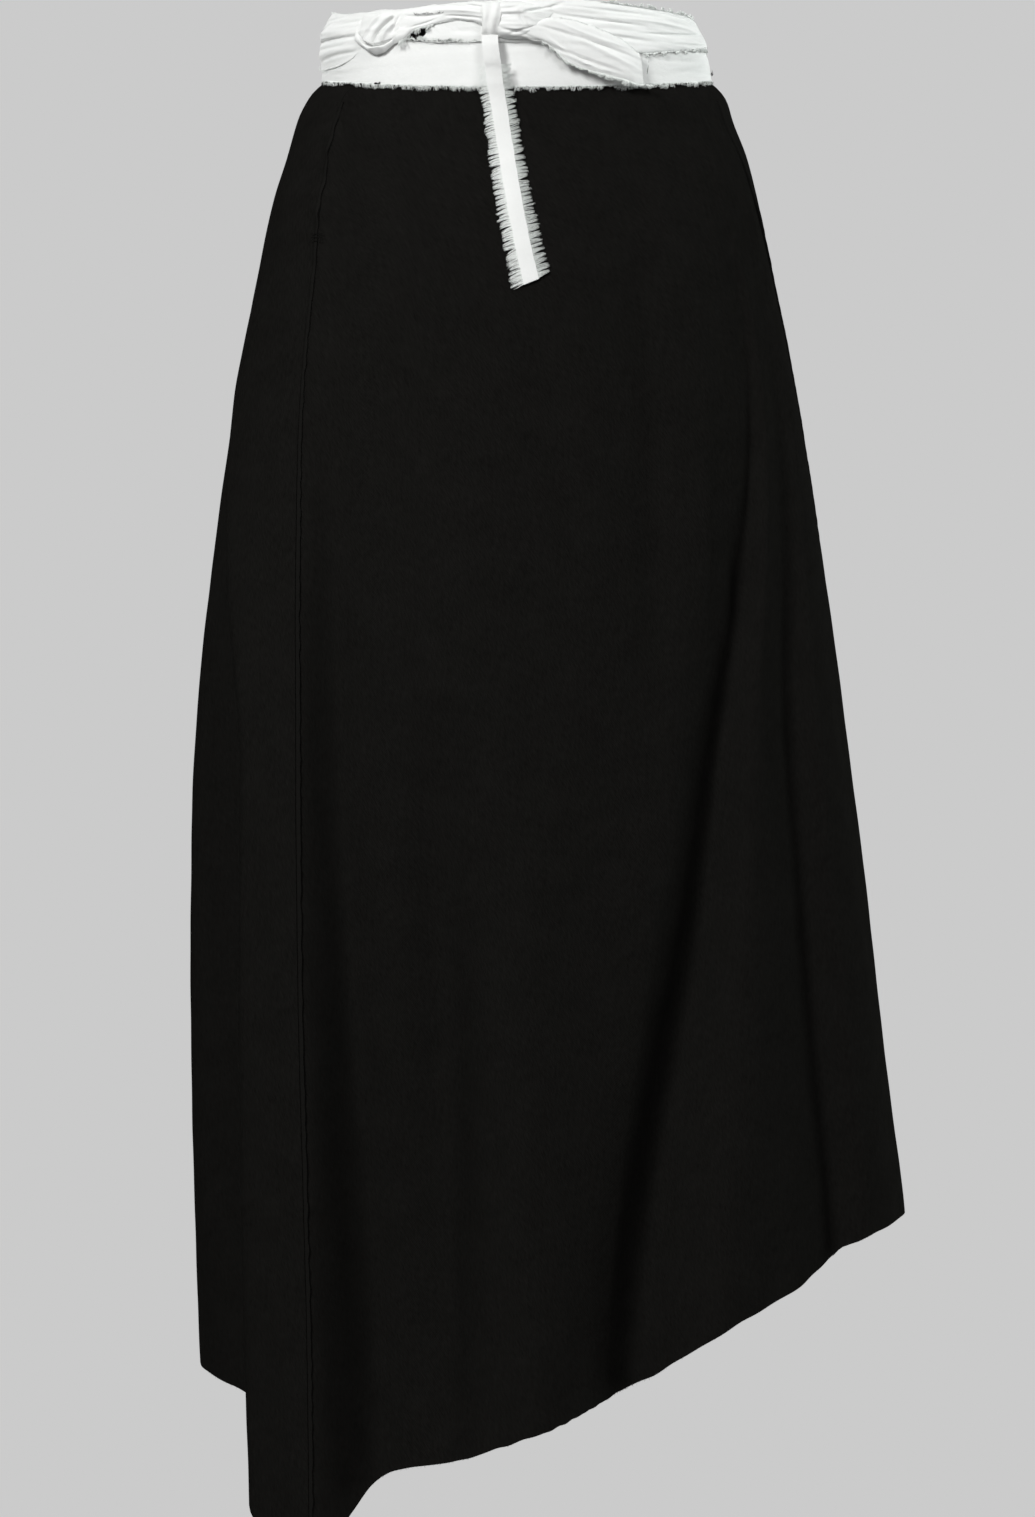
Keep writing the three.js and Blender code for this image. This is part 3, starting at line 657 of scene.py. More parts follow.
def makePanel(name, node, first, last):
    places = evenPlaces(first, last, panels["columns"][node], panels["evenAt"])[None, :]
    top = topDrop(turnAt(places, 0 * places))
    low = panels["closeRowsTo"]
    nearTop = np.linspace(0, 1, panels["rowsAtTop"])[:, None]
    below = np.linspace(0, 1, panels["rowsBelow"] + 1)[1:, None]
    drops = np.concatenate([top + (low - top) * nearTop, low + (raggedHem(places) - low) * below])
    places = np.broadcast_to(places, drops.shape)
    outer = cloth(places, drops)
    inner = cloth(places, drops, -form["clothThick"])
    for grid in (outer, inner):
        grid[:, 0] += panels["edgeSetIn"] * unit(grid[:, 1] - grid[:, 0])
        grid[:, -1] += panels["edgeSetIn"] * unit(grid[:, -2] - grid[:, -1])
    piece = addPiece(name, [wallPart(outer, inner)], twill, [node])
    diagonals = outer[1:, 1:] - outer[:-1, :-1], outer[1:, :-1] - outer[:-1, 1:]
    return piece, np.linalg.norm(np.cross(*diagonals), axis=-1).sum() / 2 / 1e6


frontCloth, frontArea = makePanel("front_panel_cloth", "front_panel", 0, rightSeamPlace)
backCloth, backArea = makePanel("back_panel_cloth", "back_panel", rightSeamPlace, foldCount)
print("panel areas", round(frontArea, 3), round(backArea, 3))

# The raw edges that lap over at the seams. The underside goes just into the cloth, so that no slit shows.
seams = {
    "from": 13,
    "width": 3.1,
    "height": 1.25,
    "rows": 330,
    "puckerDepth": 0.9,
    "profile": ((0, -0.3), (0.12, 0.75), (0.35, 1.05), (0.7, 1), (0.97, 0.86), (1, -0.3), (0.5, -0.35)),
    "threads": {"left_seam_edge": 420, "right_seam_edge": 50},
    "threadSize": (0.4, 1.3),
    "threadRadius": (0.05, 0.1),
}


def makeSeamEdge(name, place, node, seed):
    drops = np.linspace(seams["from"], float(hemDrop(place)) - 1, seams["rows"])
    step = 0.02
    here, out = cloth(place, drops), clothNormal(place + step, drops)
    way = unit(cloth(place + step, drops) - here)
    line = np.stack([drops * 0, drops * 0, drops], -1)
    rough = softNoise(line, 26, seed) * (0.35 + 0.65 * smooth((170 - drops) / 60))
    edge = seams["width"] + 0.5 * softNoise(line, 11, seed + 1) + 0.4 * rough
    high = seams["height"] + 0.35 * rough * seams["puckerDepth"] + 0.15 * softNoise(line, 7, seed + 2)
    loops = np.stack([
        here + way * (0.25 + (edge * share))[:, None] + out * (high * lift)[:, None]
        for share, lift in seams["profile"]
    ], 1)
    draws = np.random.default_rng(seed)
    rows = draws.integers(2, seams["rows"] - 2, seams["threads"][name])
    each = (len(rows), 1)
    way, out = way[rows], out[rows]
    root = here[rows] + way * (0.1 + edge[rows])[:, None] + out * (high[rows] * 0.6)[:, None]
    size = draws.uniform(*seams["threadSize"], each)
    aim = way + out * draws.uniform(-0.1, 0.7, each) + np.array([0, 0, -1]) * draws.uniform(-0.7, 0.9, each)
    tip = root + aim * size
    threads = np.stack([root, (root + tip) / 2 + out * 0.1, tip], 1)
    fuzz = threadPart(threads, draws.uniform(*seams["threadRadius"], len(rows)))
    return addPiece(name, [loftPart(loops), fuzz], rawBlack, [node])


leftSeamEdge = makeSeamEdge("left_seam_edge", 0, "left_seam_ridge", 21)
rightSeamEdge = makeSeamEdge("right_seam_edge", rightSeamPlace, "right_seam_ridge", 31)

hemFuzz = {"count": 1500, "size": (0.5, 2.2), "radius": 0.07}


def makeHemFuzz():
    draws = np.random.default_rng(44)
    count = hemFuzz["count"]
    place = draws.uniform(0, foldCount, count)
    drop = raggedHem(place) - 0.3
    out = clothNormal(place, drop)
    root = cloth(place, drop, -form["clothThick"] * 0.5)
    way = unit(cloth(place + 0.02, drop) - cloth(place - 0.02, drop))
    patchy = 0.45 + 0.55 * smooth(softNoise(np.stack([place * 30, 0 * place, 0 * place], -1), 40, 6) + 0.5)
    size = (draws.uniform(*hemFuzz["size"], count) * patchy)[:, None]
    lean = draws.uniform(-0.9, 0.9, (count, 1))
    aim = unit(np.array([0, 0, -1]) + way * lean + out * draws.uniform(-0.3, 0.3, (count, 1)))
    curl = out * draws.uniform(-0.25, 0.25, (count, 1)) * size
    threads = np.stack([root, root + aim * size * 0.55 + curl, root + aim * size], 1)
    radius = hemFuzz["radius"] * draws.uniform(0.6, 1.3, count)
    return addPiece("hem_fuzz", [threadPart(threads, radius)], rawBlack)


hemThreads = makeHemFuzz()

# Stitches across the left seam, each a low arch
barTack = {
    "drops": (105.5, 108, 110.5),
    "from": -1.5,
    "to": 9,
    "gap": 0.25,
    "radius": 0.35,
    "stitches": 5,
    "foot": 1.55,
    "arch": 0.5,
}


def makeBarTack():
    threads = []
    for drop in barTack["drops"]:
        here, out = cloth(0.0, drop), clothNormal(0.02, drop)
        way = unit(cloth(0.03, drop) - here)
        reach = np.linspace(barTack["from"], barTack["to"], barTack["stitches"] + 1)
        for a, b in zip(reach[:-1], reach[1:] - barTack["gap"]):
            bend = [(t, barTack["foot"] + barTack["arch"] * math.sin(math.pi * t)) for t in (0, 0.3, 0.7, 1)]
            threads.append([here + way * (a + (b - a) * t) + out * high for t, high in bend])
    part = threadPart(np.array(threads), np.full(len(threads), barTack["radius"]))
    return addPiece("seam_bar_tack", [part], rawBlack)


tack = makeBarTack()

# White waist: heights are in millimetres above the waist seam's level at the sides
belt = {
    "bandGap": 0.3,
    "bandHigh": 30,
    "tieOut": 2.3,
    "perDegree": 2.15,
}


def waistPoint(turn, height, out):
    turn, height, out = alike(turn, height, out)
    angle = np.radians(turn)
    x, y, normal = planAt(angle, waistRise(angle) - height)
    return np.stack([x, y, height], -1) + normal * out[..., None]


band = {
    "columns": 500,
    "rows": 22,
    "thick": 1.25,
    "liftLimits": (-0.7, 0.35),
    "waves": (0.28, 16, 14, (6, 6, 0.35)),
    "edgeWaves": ((0.5, 7, 15), (0.45, 3.2, 16)),
    "creases": (
        (-88, 12, -52, 9, 0.6, 0.9, -0.8, 0.6),
        (-86, 7, -58, 4, -0.5, 0.8, -0.7, 0.6),
        (-80, 15, -50, 13, 0.4, 1, 0.6, 0.5),
        (-78, 2.5, -55, -1.5, 0.5, 0.8, -0.5, 0.7),
        (44, 6, 84, 12, 0.8, 0.9, -0.9, 0.6),
        (48, -2, 86, 5, 0.6, 0.8, -0.7, 0.6),
        (46, 12, 80, 17, 0.5, 1, 0.7, 0.5),
        (58, 1, 88, 8.5, -0.5, 0.8, -0.6, 0.7),
        (92, 10, 134, 14, 0.8, 1, -0.8, 0.6),
        (100, 4, 148, 6, -0.8, 0.9, -0.7, 0.6),
        (140, 15, 190, 13, 0.8, 1.1, 0.7, 0.5),
        (150, 9, 205, 8, 0.6, 0.9, -0.8, 0.6),
        (198, 16, 246, 12, -0.7, 1, -0.8, 0.7),
        (210, 8, 268, 7, 0.8, 0.9, -0.8, 0.6),
    ),
}


def makeBand():
    turns = np.linspace(0, 360, band["columns"], endpoint=False)[None, :]
    shares = np.linspace(1, 0, band["rows"])[:, None]
    height = waistRise(np.radians(turns)) + shares * belt["bandHigh"]
    around = np.broadcast_to(turns, height.shape)
    bare = waistPoint(around, height, 0)
    frontness = smooth((np.cos(np.radians(around)) - 0.45) / 0.3)
    lift = creaseLift(around, height, band["creases"], belt["perDegree"])
    lift = lift + wavy(bare, *band["waves"]) * (1 - 0.7 * frontness)
    height = height + sum(wavy(bare, *waves) for waves in band["edgeWaves"]) * (2 * shares - 1) ** 4
    outer = waistPoint(around, height, belt["bandGap"] + band["thick"] + np.clip(lift, *band["liftLimits"]))
    wall = wallPart(outer, waistPoint(around, height, belt["bandGap"]), ring=True)
    piece = addPiece("waistband_cloth", [wall], cotton, ["waistband"])
    return piece, lengths(outer, 1)[-1, -1] / 1000


bandCloth, bandRound = makeBand()

# The belt is a crumpled strip: its sizes give its top and foot and how thick its folds lie
beltColumns = ("turn", "top", "foot", "thick", "footSoft")

wrap = {
    "roughness": 0.34,
    "columns": 470,
    "shares": 46,
    "out": 1.7,
    "sizes": (
        (-9.8, 40.3, 12.4, 3.2, 0),
        (8, 41, 12.4, 3.2, 0),
        (25, 41.8, 9, 3.2, 0),
        (34, 41.4, 8, 3.3, 0),
        (41, 40.8, 8.4, 3.4, 0),
        (50, 40.5, 11, 3.8, 0),
        (60, 40.5, 13.5, 4, 0),
        (75, 41, 18.5, 3.8, 0),
        (90, 42, 21, 4, 0.05),
        (120, 44, 19, 3.6, 0.2),
        (150, 45.5, 15.5, 4.1, 0.1),
        (185, 45, 17.5, 3.6, 0.25),
        (215, 46, 14.5, 4, 0.1),
        (245, 47.5, 17, 3.7, 0.25),
        (262, 47.5, 13, 4, 0.5),
        (275, 46, 7, 4, 0.7),
        (285, 42.5, 4.5, 3.9, 0.75),
        (296, 39.6, 4.8, 3.9, 0.7),
        (304, 38.9, 8, 4, 0.6),
        (309.8, 38.4, 16, 4, 0.4),
    ),
    "creases": (
        (4, 31.4, 17, 40, 0.3, 1.2, -2, 0.6),
        (9, 33, 46, 27.5, 1.2, 1.3, -1.1, 0.5),
        (12, 38, 60, 35.5, 1, 1.2, -0.9, 0.5),
        (14, 24, 50, 17, 1.5, 1.6, -0.9, 0.5),
        (30, 31, 82, 29, -1.2, 1.5, 0.9, 0.4),
        (40, 22, 88, 32, 1.4, 1.3, -1.4, 0.45),
        (52, 37.5, 96, 37, -0.8, 1.2, -1.2, 0.5),
        (56, 18, 84, 23, 0.8, 1.1, -1, 0.6),
        (86, 28, 128, 31, 1.6, 1.5, -1.6, 0.45),
        (96, 37, 150, 39, -1.2, 1.3, -1.3, 0.5),
        (104, 23, 140, 24, 0.8, 1.3, 1, 0.4),
        (132, 27, 182, 25, 1.6, 1.5, -1.6, 0.45),
        (150, 35, 196, 37, 1.4, 1.4, -1.4, 0.5),
        (160, 21, 204, 21, -0.8, 1.2, -1.1, 0.6),
        (188, 31, 238, 30, -1.6, 1.5, -1.6, 0.45),
        (200, 40, 250, 42, 0.8, 1.2, -1.2, 0.5),
        (214, 22, 262, 25, 1.2, 1.4, -1.4, 0.5),
        (240, 35, 286, 36, 1.4, 1.4, -1.5, 0.45),
        (264, 40, 300, 38, 0.6, 1.2, -1, 0.6),
        (262, 40, 309, 32.5, 0.6, 1.6, -0.5, 0.5),
        (261, 35, 308, 27, 0.9, 2.4, 0.9, 0.45),
        (260, 28, 310, 22.5, 0.8, 1.8, -2.3, 0.4),
        (264, 23, 300, 18, 0.8, 1.2, -0.8, 0.4),
        (262, 17.5, 308, 15, 0.5, 3, 0.8, 0.8),
        (276, 11.5, 311, 12.5, -0.5, 1.3, -1, 0.5),
        (264, 8.5, 303, 8, 0.4, 1.1, -0.7, 0.6),
        (286, 33.5, 310, 33, 0.4, 1, -0.7, 0.5),
    ),
}
twist = {
    "roughness": 0.22,
    "columns": 60,
    "shares": 50,
    "out": belt["tieOut"] + 0.3,
    "sizes": (
        (-54.5, 37.4, 18.5, 3.2),
        (-52, 37.9, 16, 4.2),
        (-49, 38.4, 12.6, 5.8),
        (-46, 38.5, 9.4, 6.9),
        (-43.4, 38.2, 8, 7.2),
        (-41.2, 37.9, 8.8, 6.7),
        (-39, 37.6, 12.2, 5.8),
        (-37, 37.4, 15.6, 4.8),
        (-34.6, 37.2, 18.5, 3.8),
    ),
    "creases": (
        (-39.2, 32.5, -45.2, 12.8, 3, 1.15, -8.5, 0.9),
        (-43.6, 35.5, -48.8, 15, 2.8, 1.9, 2.2, 0.7),
        (-36.6, 30, -41.4, 15.5, 2, 2.2, 2, 0.7),
        (-53.2, 25.5, -37.6, 17.6, 7.2, 1, -4.6, 0.7),
        (-54, 36, -52, 20, 0.6, 1.3, -2.2, 0.6),
        (-47.6, 11.4, -40.2, 12.2, -1.4, 1.6, 1.4, 0.6),
        (-36.4, 35, -38.4, 20, 0.8, 1, -1.6, 0.6),
        (-51.6, 36.6, -43.8, 35.6, 0.4, 0.9, -0.7, 0.6),
        (-37.8, 36, -35.2, 22, 0.8, 1.2, -0.9, 0.6),
    ),
}
strand = {
    "roughness": 0.26,
    "columns": 70,
    "shares": 34,
    "out": belt["tieOut"] + 0.5,
    "sizes": (
        (-38, 37.4, 14.8, 4),
        (-34, 37.8, 17, 4.2),
        (-31.5, 38, 22.4, 3.6),
        (-27, 38.7, 24.6, 3.4),
        (-22.6, 39, 26.2, 3.5),
        (-17.8, 39.6, 27.8, 4.2),
        (-13, 40, 26.6, 5.2),
        (-9.6, 39.6, 23.6, 6.4),
        (-6.5, 38.6, 22, 7.2),
    ),
    "creases": (
        (-37, 33, -22, 32.5, 1.2, 1, -1.1, 0.5),
        (-34.6, 24, -24, 29.5, 0.6, 1, -1, 0.5),
        (-31, 37, -14, 36.5, -0.8, 1, -0.8, 0.5),
        (-26, 35, -9, 31.5, -0.8, 1.2, 1, 0.4),
        (-22, 31, -7.6, 27, -0.8, 1.1, -1.4, 0.5),
        (-16, 38.5, -7, 35, 0.6, 1, -1.3, 0.5),
    ),
}
flap = {
    "roughness": 0.12,
    "columns": 34,
    "shares": 22,
    "out": belt["tieOut"],
    "sizes": (
        (-28.4, 17.4, 14.8, 0.6),
        (-26.6, 24, 14.4, 0.9),
        (-24.8, 30, 14, 1),
        (-19, 31, 13.6, 1.2),
        (-14, 31, 13.1, 1.2),
        (-8.6, 31, 14.2, 1.1),
        (-5.6, 30, 16.4, 0.9),
    ),
    "creases": ((-22, 24, -10, 20, 0.6, 2.4, -0.35, 1),),
}


def beltLoft(piece, seed):
    first, last = piece["sizes"][0][0], piece["sizes"][-1][0]
    turns = np.linspace(first, last, piece["columns"])[:, None]
    size = {name: curve(turns) for name, curve in curvesOf(beltColumns, piece["sizes"]).items()}
    shares = np.linspace(0, 1, piece["shares"])[None, :]
    height = size["foot"] + (size["top"] - size["foot"]) * shares
    around = np.broadcast_to(turns, height.shape)
    bulge = 1 - 0.72 * np.abs(2 * shares - 1) ** 6
    if "footSoft" in size:
        bulge = bulge * (0.08 + 0.92 * smooth(shares / np.maximum(size["footSoft"], 0.01)))
    bare = waistPoint(around, height, 0)
    lift = creaseLift(around, height, piece["creases"], belt["perDegree"])
    streaks = softNoise(bare, 15, seed, (4, 4, 0.28)) + 0.6 * softNoise(bare, 8, seed + 1, (3, 3, 0.3))
    off = size["thick"] * bulge * 0.8 + lift + piece["roughness"] * streaks * (0.4 + 0.6 * bulge)
    off = np.clip(off, 0.2, size["thick"] * 1.25)
    ragged = piece.get("ragged", 0.35) * (softNoise(bare, 9, seed + 2) + 0.5 * softNoise(bare, 3, seed + 3))
    outer = waistPoint(around, height + ragged * np.abs(2 * shares - 1) ** 4, piece["out"] + off)
    back = size["foot"] + (size["top"] - size["foot"]) * shares[:, ::-1][:, ::5]
    inner = waistPoint(np.broadcast_to(turns, back.shape), back, piece["out"])
    return loftPart(np.concatenate([outer, inner], 1))


def beltPiece(name, parts, *nodes):
    return addPiece(name, parts, cotton, nodes)


wrapNodes = ("tie_wrap_left", "tie_wrap_right", "tie_wrap_back")
wrapCloth = beltPiece("tie_wrap_cloth", [beltLoft(wrap, 51)], *wrapNodes)
twistCloth = beltPiece("tie_twist_cloth", [beltLoft(twist, 61)], "tie_twist")
strandCloth = beltPiece("tie_strand_cloth", [beltLoft(strand, 71)], "tie_strand")
flapCloth = beltPiece("tie_flap_cloth", [beltLoft(flap, 75)])

# The knot: a loop of folded cloth wound once round the belt, and the lump that it gathers at its right
knot = {
    "out": belt["tieOut"] + 0.6,
    "rounds": (72, 44),  # points round the loop and round its strand
    "x": -15.4,
    "z": 27.6,
    "deep": 3.5,
    "high": 9.6,
    "halfWide": 6.4,
    "halfThick": 1.7,
    "pleats": 5,
    "pleatDepth": 0.32,
    "waves": (0.3, 6, 81),
}
lump = {
    "roughness": 0.3,
    "columns": 80,
    "shares": 48,
    "out": 3.0,
    "sizes": (
        (-8.2, 36, 19.5, 6),
        (-5.6, 38.6, 16.6, 8.4),
        (-2.6, 39.4, 14.8, 10.4),
        (0.6, 39.4, 14.4, 10.8),
        (3.4, 38.6, 15.6, 9.2),
        (6, 37.6, 18.6, 6.8),
        (8.4, 36.6, 23, 4.6),
        (10.8, 36, 28, 2.8),
        (13, 36.6, 31.5, 1.4),
    ),
    "creases": (
        (-6.4, 30.5, 7.8, 31.5, 1, 1.5, -1.5, 0.7),
        (2.6, 31.6, 16, 39.8, 0.3, 1.2, -2.8, 0.6),
        (-5.4, 26.5, 5.2, 27, -1.4, 1.8, -1.1, 0.6),
        (-5, 34, 3.6, 37.6, 1.2, 1.4, -0.9, 0.6),
        (-4.6, 22, 3.4, 18.5, 1.2, 1.4, -1.5, 0.6),
        (-2, 17, 6.4, 21.5, -0.8, 1.1, -1.3, 0.6),
        (-3, 29, 8, 32, 0.6, 1.8, 0.8, 0.6),
        (1.4, 34.5, 4.6, 21, 2, 1.6, -0.8, 0.6),
    ),
}


def knotLoop():
    rounds = [np.linspace(0, 2 * math.pi, count, endpoint=False) for count in knot["rounds"]]
    turn, side = np.meshgrid(*rounds, indexing="ij")
    centre = waistPoint(0.0, knot["z"], knot["out"] + knot["deep"])
    pleat = np.cos(side * knot["pleats"] + 0.9 * np.sin(turn * 2)) * np.abs(np.sin(side))
    narrow = 1.0 + 0.17 * np.sin(turn) - 0.05 * np.cos(turn * 2)
    lift = np.sin(side) * knot["halfThick"] * (1 + knot["pleatDepth"] * pleat)
    x = knot["x"] + np.cos(side) * knot["halfWide"] * narrow + 0.9 * np.sin(turn)
    y = centre[1] - np.cos(turn) * (knot["deep"] + lift)
    z = centre[2] + np.sin(turn) * (knot["high"] + lift)
    rough = wavy(np.stack([x, y, z], -1), *knot["waves"])
    return np.stack([x + rough, y - rough, z + 0.5 * rough], -1)


knotCloth = beltPiece("tie_knot_cloth", [loftPart(knotLoop(), closed=True), beltLoft(lump, 83)], "tie_knot")

tail = {
    "roughness": 0.16,
    "columns": 90,
    "shares": 34,
    "out": 6.0,
    "ragged": 0.8,
    "sizes": (
        (-3, 20, 16.4, 3.2),
        (1, 21.5, 15.4, 3.4),
        (5, 24, 13.9, 3.4),
        (9, 27, 11.4, 3.2),
        (11.6, 28.4, 6.6, 3.2),
        (13.6, 28.6, 1.8, 3.2),
        (18, 27.4, -3.8, 3.2),
        (26.5, 22.4, -8.6, 3.2),
        (33.5, 16, -11.6, 2.8),
        (36.4, 11.2, -13.5, 2.4),
        (38.2, 8.6, -13.2, 1.8),
    ),
    "creases": (
        (1, 19.5, 32, -6, 2.2, 1.9, -1.7, 0.5),
        (5, 24.5, 38, 3, -0.8, 1.6, -1.3, 0.5),
        (9, 17, 25, -6, 2.4, 2, 1.1, 0.5),
        (14, 22, 39, -5, 1.2, 2, 0.9, 0.6),
        (12, 5, 33, -10, 1.8, 1.2, -0.9, 0.6),
        (12, 27, 36, 10, 1.6, 1.3, 0.8, 0.5),
    ),
}
tailCloth = beltPiece("tie_tail_cloth", [beltLoft(tail, 91)], "tie_tail")

# The long end hangs over the front. Its line gives its middle across the front and how far it stands out.
endColumns = ("drop", "x", "out")
hanging = {
    "line": (
        (-33, -15.6, 9),
        (-26, -15.2, 10.4),
        (-18, -14.4, 9.8),
        (-9, -13.3, 7.4),
        (0, -12.4, 6),
        (6, -11.5, 4.6),
        (14, -10.3, 3.2),
        (26, -8.6, 1.8),
        (40, -6.6, 1.1),
        (77, -1.2, 0.9),
        (117, 5.8, 0.9),
        (137, 9.9, 1.1),
        (150, 12.6, 1.1),
    ),
    "foot": 141,
    "width": 10.2,
    "thick": 0.9,
    "slant": 0.17,
    "slantLength": 40,
    "cup": 0.35,
    "waves": (0.3, 34, 101),
    "edgeWaves": (0.25, 12, 102),
    "evened": (-14, -7, 0, 7, 14),  # drops over which the cloth under it is evened out
    "rows": 120,
    "columns": 14,
}
hangCurves = curvesOf(endColumns, hanging["line"])


def placeOfTurn(turn, drop):
    low, high = np.zeros_like(turn), np.full_like(turn, float(rightSeamPlace))
    for halving in range(22):
        middle = (low + high) / 2
        under = turnAt(middle, drop) < turn
        low, high = np.where(under, middle, low), np.where(under, high, middle)
    return low


def endPoint(drop, right, out):
    drop, right, out = alike(drop, right, out)
    reach = 2
    lean = hangCurves["x"](drop + reach) - hangCurves["x"](drop - reach)
    length = np.hypot(lean, 2 * reach)
    slant = hanging["slant"] * np.clip(1 - (hanging["foot"] - drop) / hanging["slantLength"], 0, 1)
    x = hangCurves["x"](drop) + right * 2 * reach / length
    points = []
    for step in hanging["evened"]:
        lower = drop + step - right * (lean / length + slant)
        across = np.where(x > 0, section["right"](lower), section["left"](lower))
        place = placeOfTurn(np.arcsin(x / across), lower)
        points.append(cloth(place, lower, hangCurves["out"](drop) + out))
    return np.mean(points, 0)


def makeHangingEnd():
    drops = np.linspace(hanging["line"][0][0], hanging["foot"], hanging["rows"])[:, None]
    right = np.linspace(-0.5, 0.5, hanging["columns"])[None, :] * hanging["width"]
    cup = hanging["cup"] * (1 - (2 * right / hanging["width"]) ** 2)
    line = np.stack([0 * drops, 0 * drops, drops], -1)
    wave, edge = wavy(line, *hanging["waves"]), right + wavy(line, *hanging["edgeWaves"])
    outer = endPoint(drops, edge, hanging["thick"] + cup + wave)
    inner = endPoint(drops, edge, np.clip(wave, -0.3, 0.3) + 0 * right)
    return beltPiece("tie_end_cloth", [wallPart(outer, inner)], "tie_end")


endCloth = makeHangingEnd()
endFrays = {"count": 1700, "length": 6.9, "radius": 0.115, "clump": 2.3, "from": -13}


def makeEndFrays(name, side, node, seed):
    draws = np.random.default_rng(seed)
    count = endFrays["count"]
    drop = np.sort(draws.uniform(endFrays["from"], hanging["foot"] - 0.4, count))
    clumps = np.arange(endFrays["from"] - 4, hanging["foot"] + 2, endFrays["clump"])
    clumps = clumps + draws.uniform(-1, 1, len(clumps))
    nearest = np.abs(drop[:, None] - clumps[None, :]).argmin(1)
    pull = draws.uniform(0.1, 0.6, count) * (clumps[nearest] - drop)
    clumpLean = draws.uniform(-0.9, 0.9, len(clumps))[nearest] - side * 0.9
    clumpLong = draws.uniform(0.82, 1.06, len(clumps))[nearest]
    length = endFrays["length"] * draws.uniform(0.78, 1.03, count) * clumpLong
    length = length * (1 + 0.28 * smooth(drop / 130))
    near = hanging["width"] / 2 - 0.4
    knots = []
    for share in (0, 0.35, 0.7, 1):
        right = side * (near + length * share)
        down = drop + pull * share + (clumpLean + 0.4) * share**1.6 + draws.normal(0, 0.22, count) * share
        out = 0.45 + draws.uniform(-0.25, 0.45, count) * share + 0.3 * math.sin(math.pi * share)
        knots.append(endPoint(np.minimum(down, hanging["foot"] + 0.4), right, out))
    radius = endFrays["radius"] * draws.uniform(0.7, 1.25, count)
    return addPiece(name, [threadPart(np.stack(knots, 1), radius)], thread, [node])


leftFrays = makeEndFrays("tie_end_frays_left", -1, "tie_end_fringe_left", 111)
rightFrays = makeEndFrays("tie_end_frays_right", 1, "tie_end_fringe_right", 121)


# The edges that fray, and the tail's cut end where dark threads paint a shadow line, as a height above the
# waist seam's level for each turn
edges = {
    "band": lambda turns: waistRise(np.radians(turns)),
    "level": lambda turns: 0 * turns,
    "tail end": lambda turns: (turns - 39.6) * 8,
}
for name, piece in {"wrap": wrap, "strand": strand, "flap": flap, "tail": tail}.items():
    for side in ("top", "foot"):
        edges[name + " " + side] = curvesOf(beltColumns, piece["sizes"])[side]

# Threads gather in tufts along an edge, between two turns in degrees. Way is 1 where they stand up and -1
# where they hang.
frayColumns = (
    "from", "to", "count", "edge", "above", "out", "way", "short", "long", "radius", "spread", "tuft",
)
frays = {
    "waistband_frays": (
        (0, 360, 4600, "band", 0.6, 1.3, -1, 0.7, 4.4, 0.18, 0.35, 1.5),
        (-80, 84, 2600, "band", 0.6, 1.6, -1, 0.4, 5, 0.2, 0.8, 0.9),
        (0, 360, 900, "band", 29.4, 1, 1, 0.5, 1.8, 0.12, 0.35, 1.5),
        (-37, -8, 520, "band", 29.4, 2.6, 1, 0.6, 4.6, 0.17, 0.9, 1.9),
    ),
    "tie_tail_frays": (
        (8, 41, 1500, "tail foot", 0.5, 7.4, -1, 0.6, 3.4, 0.19, 0.7, 1.2),
        (22, 41, 1100, "tail foot", 0.5, 7.4, -1, 0.8, 5.2, 0.22, 0.9, 1.5),
        (14, 41, 220, "tail top", -0.2, 7, 1, 0.3, 1.3, 0.12, 0.35, 1.5),
    ),
    "tie_belt_frays": (
        (30, 92, 1500, "wrap top", -0.4, 3.4, 1, 0.3, 3.4, 0.24, 0.4, 1.8),
        (41, 92, 1300, "wrap foot", 0.4, 3.2, -1, 0.5, 3.6, 0.2, 0.8, 1.4),
        (92, 300, 700, "wrap foot", 0.4, 3.2, -1, 0.3, 2, 0.14, 0.35, 1.5),
        (92, 300, 420, "wrap top", -0.4, 3.4, 1, 0.3, 1.4, 0.13, 0.35, 1.5),
        (-36, -25, 170, "strand foot", 0.6, 4.2, -1, 1.2, 7.5, 0.17, 0.5, 1.5),
        (-24, -9, 200, "strand foot", 0.6, 4.2, -1, 0.3, 1.2, 0.12, 0.35, 1.5),
        (-27, -7, 160, "flap foot", 0.2, 3.2, -1, 0.4, 1.4, 0.13, 0.35, 1.5),
    ),
    "dark_threads_and_painted_shadow_line": (
        (-36, -16, 110, "band", 29, 4.2, 1, 0.6, 3.4, 0.11, 1.4, 1.5),
        (-32, -22, 30, "level", 32.5, 6.3, 1, 0.6, 2.2, 0.16, 1.8, 1.5),
        (-45.6, -43.2, 60, "band", 0, 2.4, 1, 1, 3.6, 0.16, 0.3, 3),
        (-85, 85, 260, "band", -1, 2, 1, 0.5, 2, 0.12, 1, 2.6),
        (52, 78, 26, "wrap foot", 1, 6.4, -1, 0.4, 1.6, 0.11, 1.6, 1.5),
        (83, 89, 22, "level", 3.5, 2.2, 1, 1.5, 5.5, 0.1, 0.4, 1.5),
        # Dark threads along the tail's cut end: a thin dark line there, partly painted shadow of the gap
        # under the cut end and partly stray dark threads
        (39.6, 41, 26, "tail end", -6, 8, 1, 1, 4, 0.1, 0.3, 1.5),
    ),
}


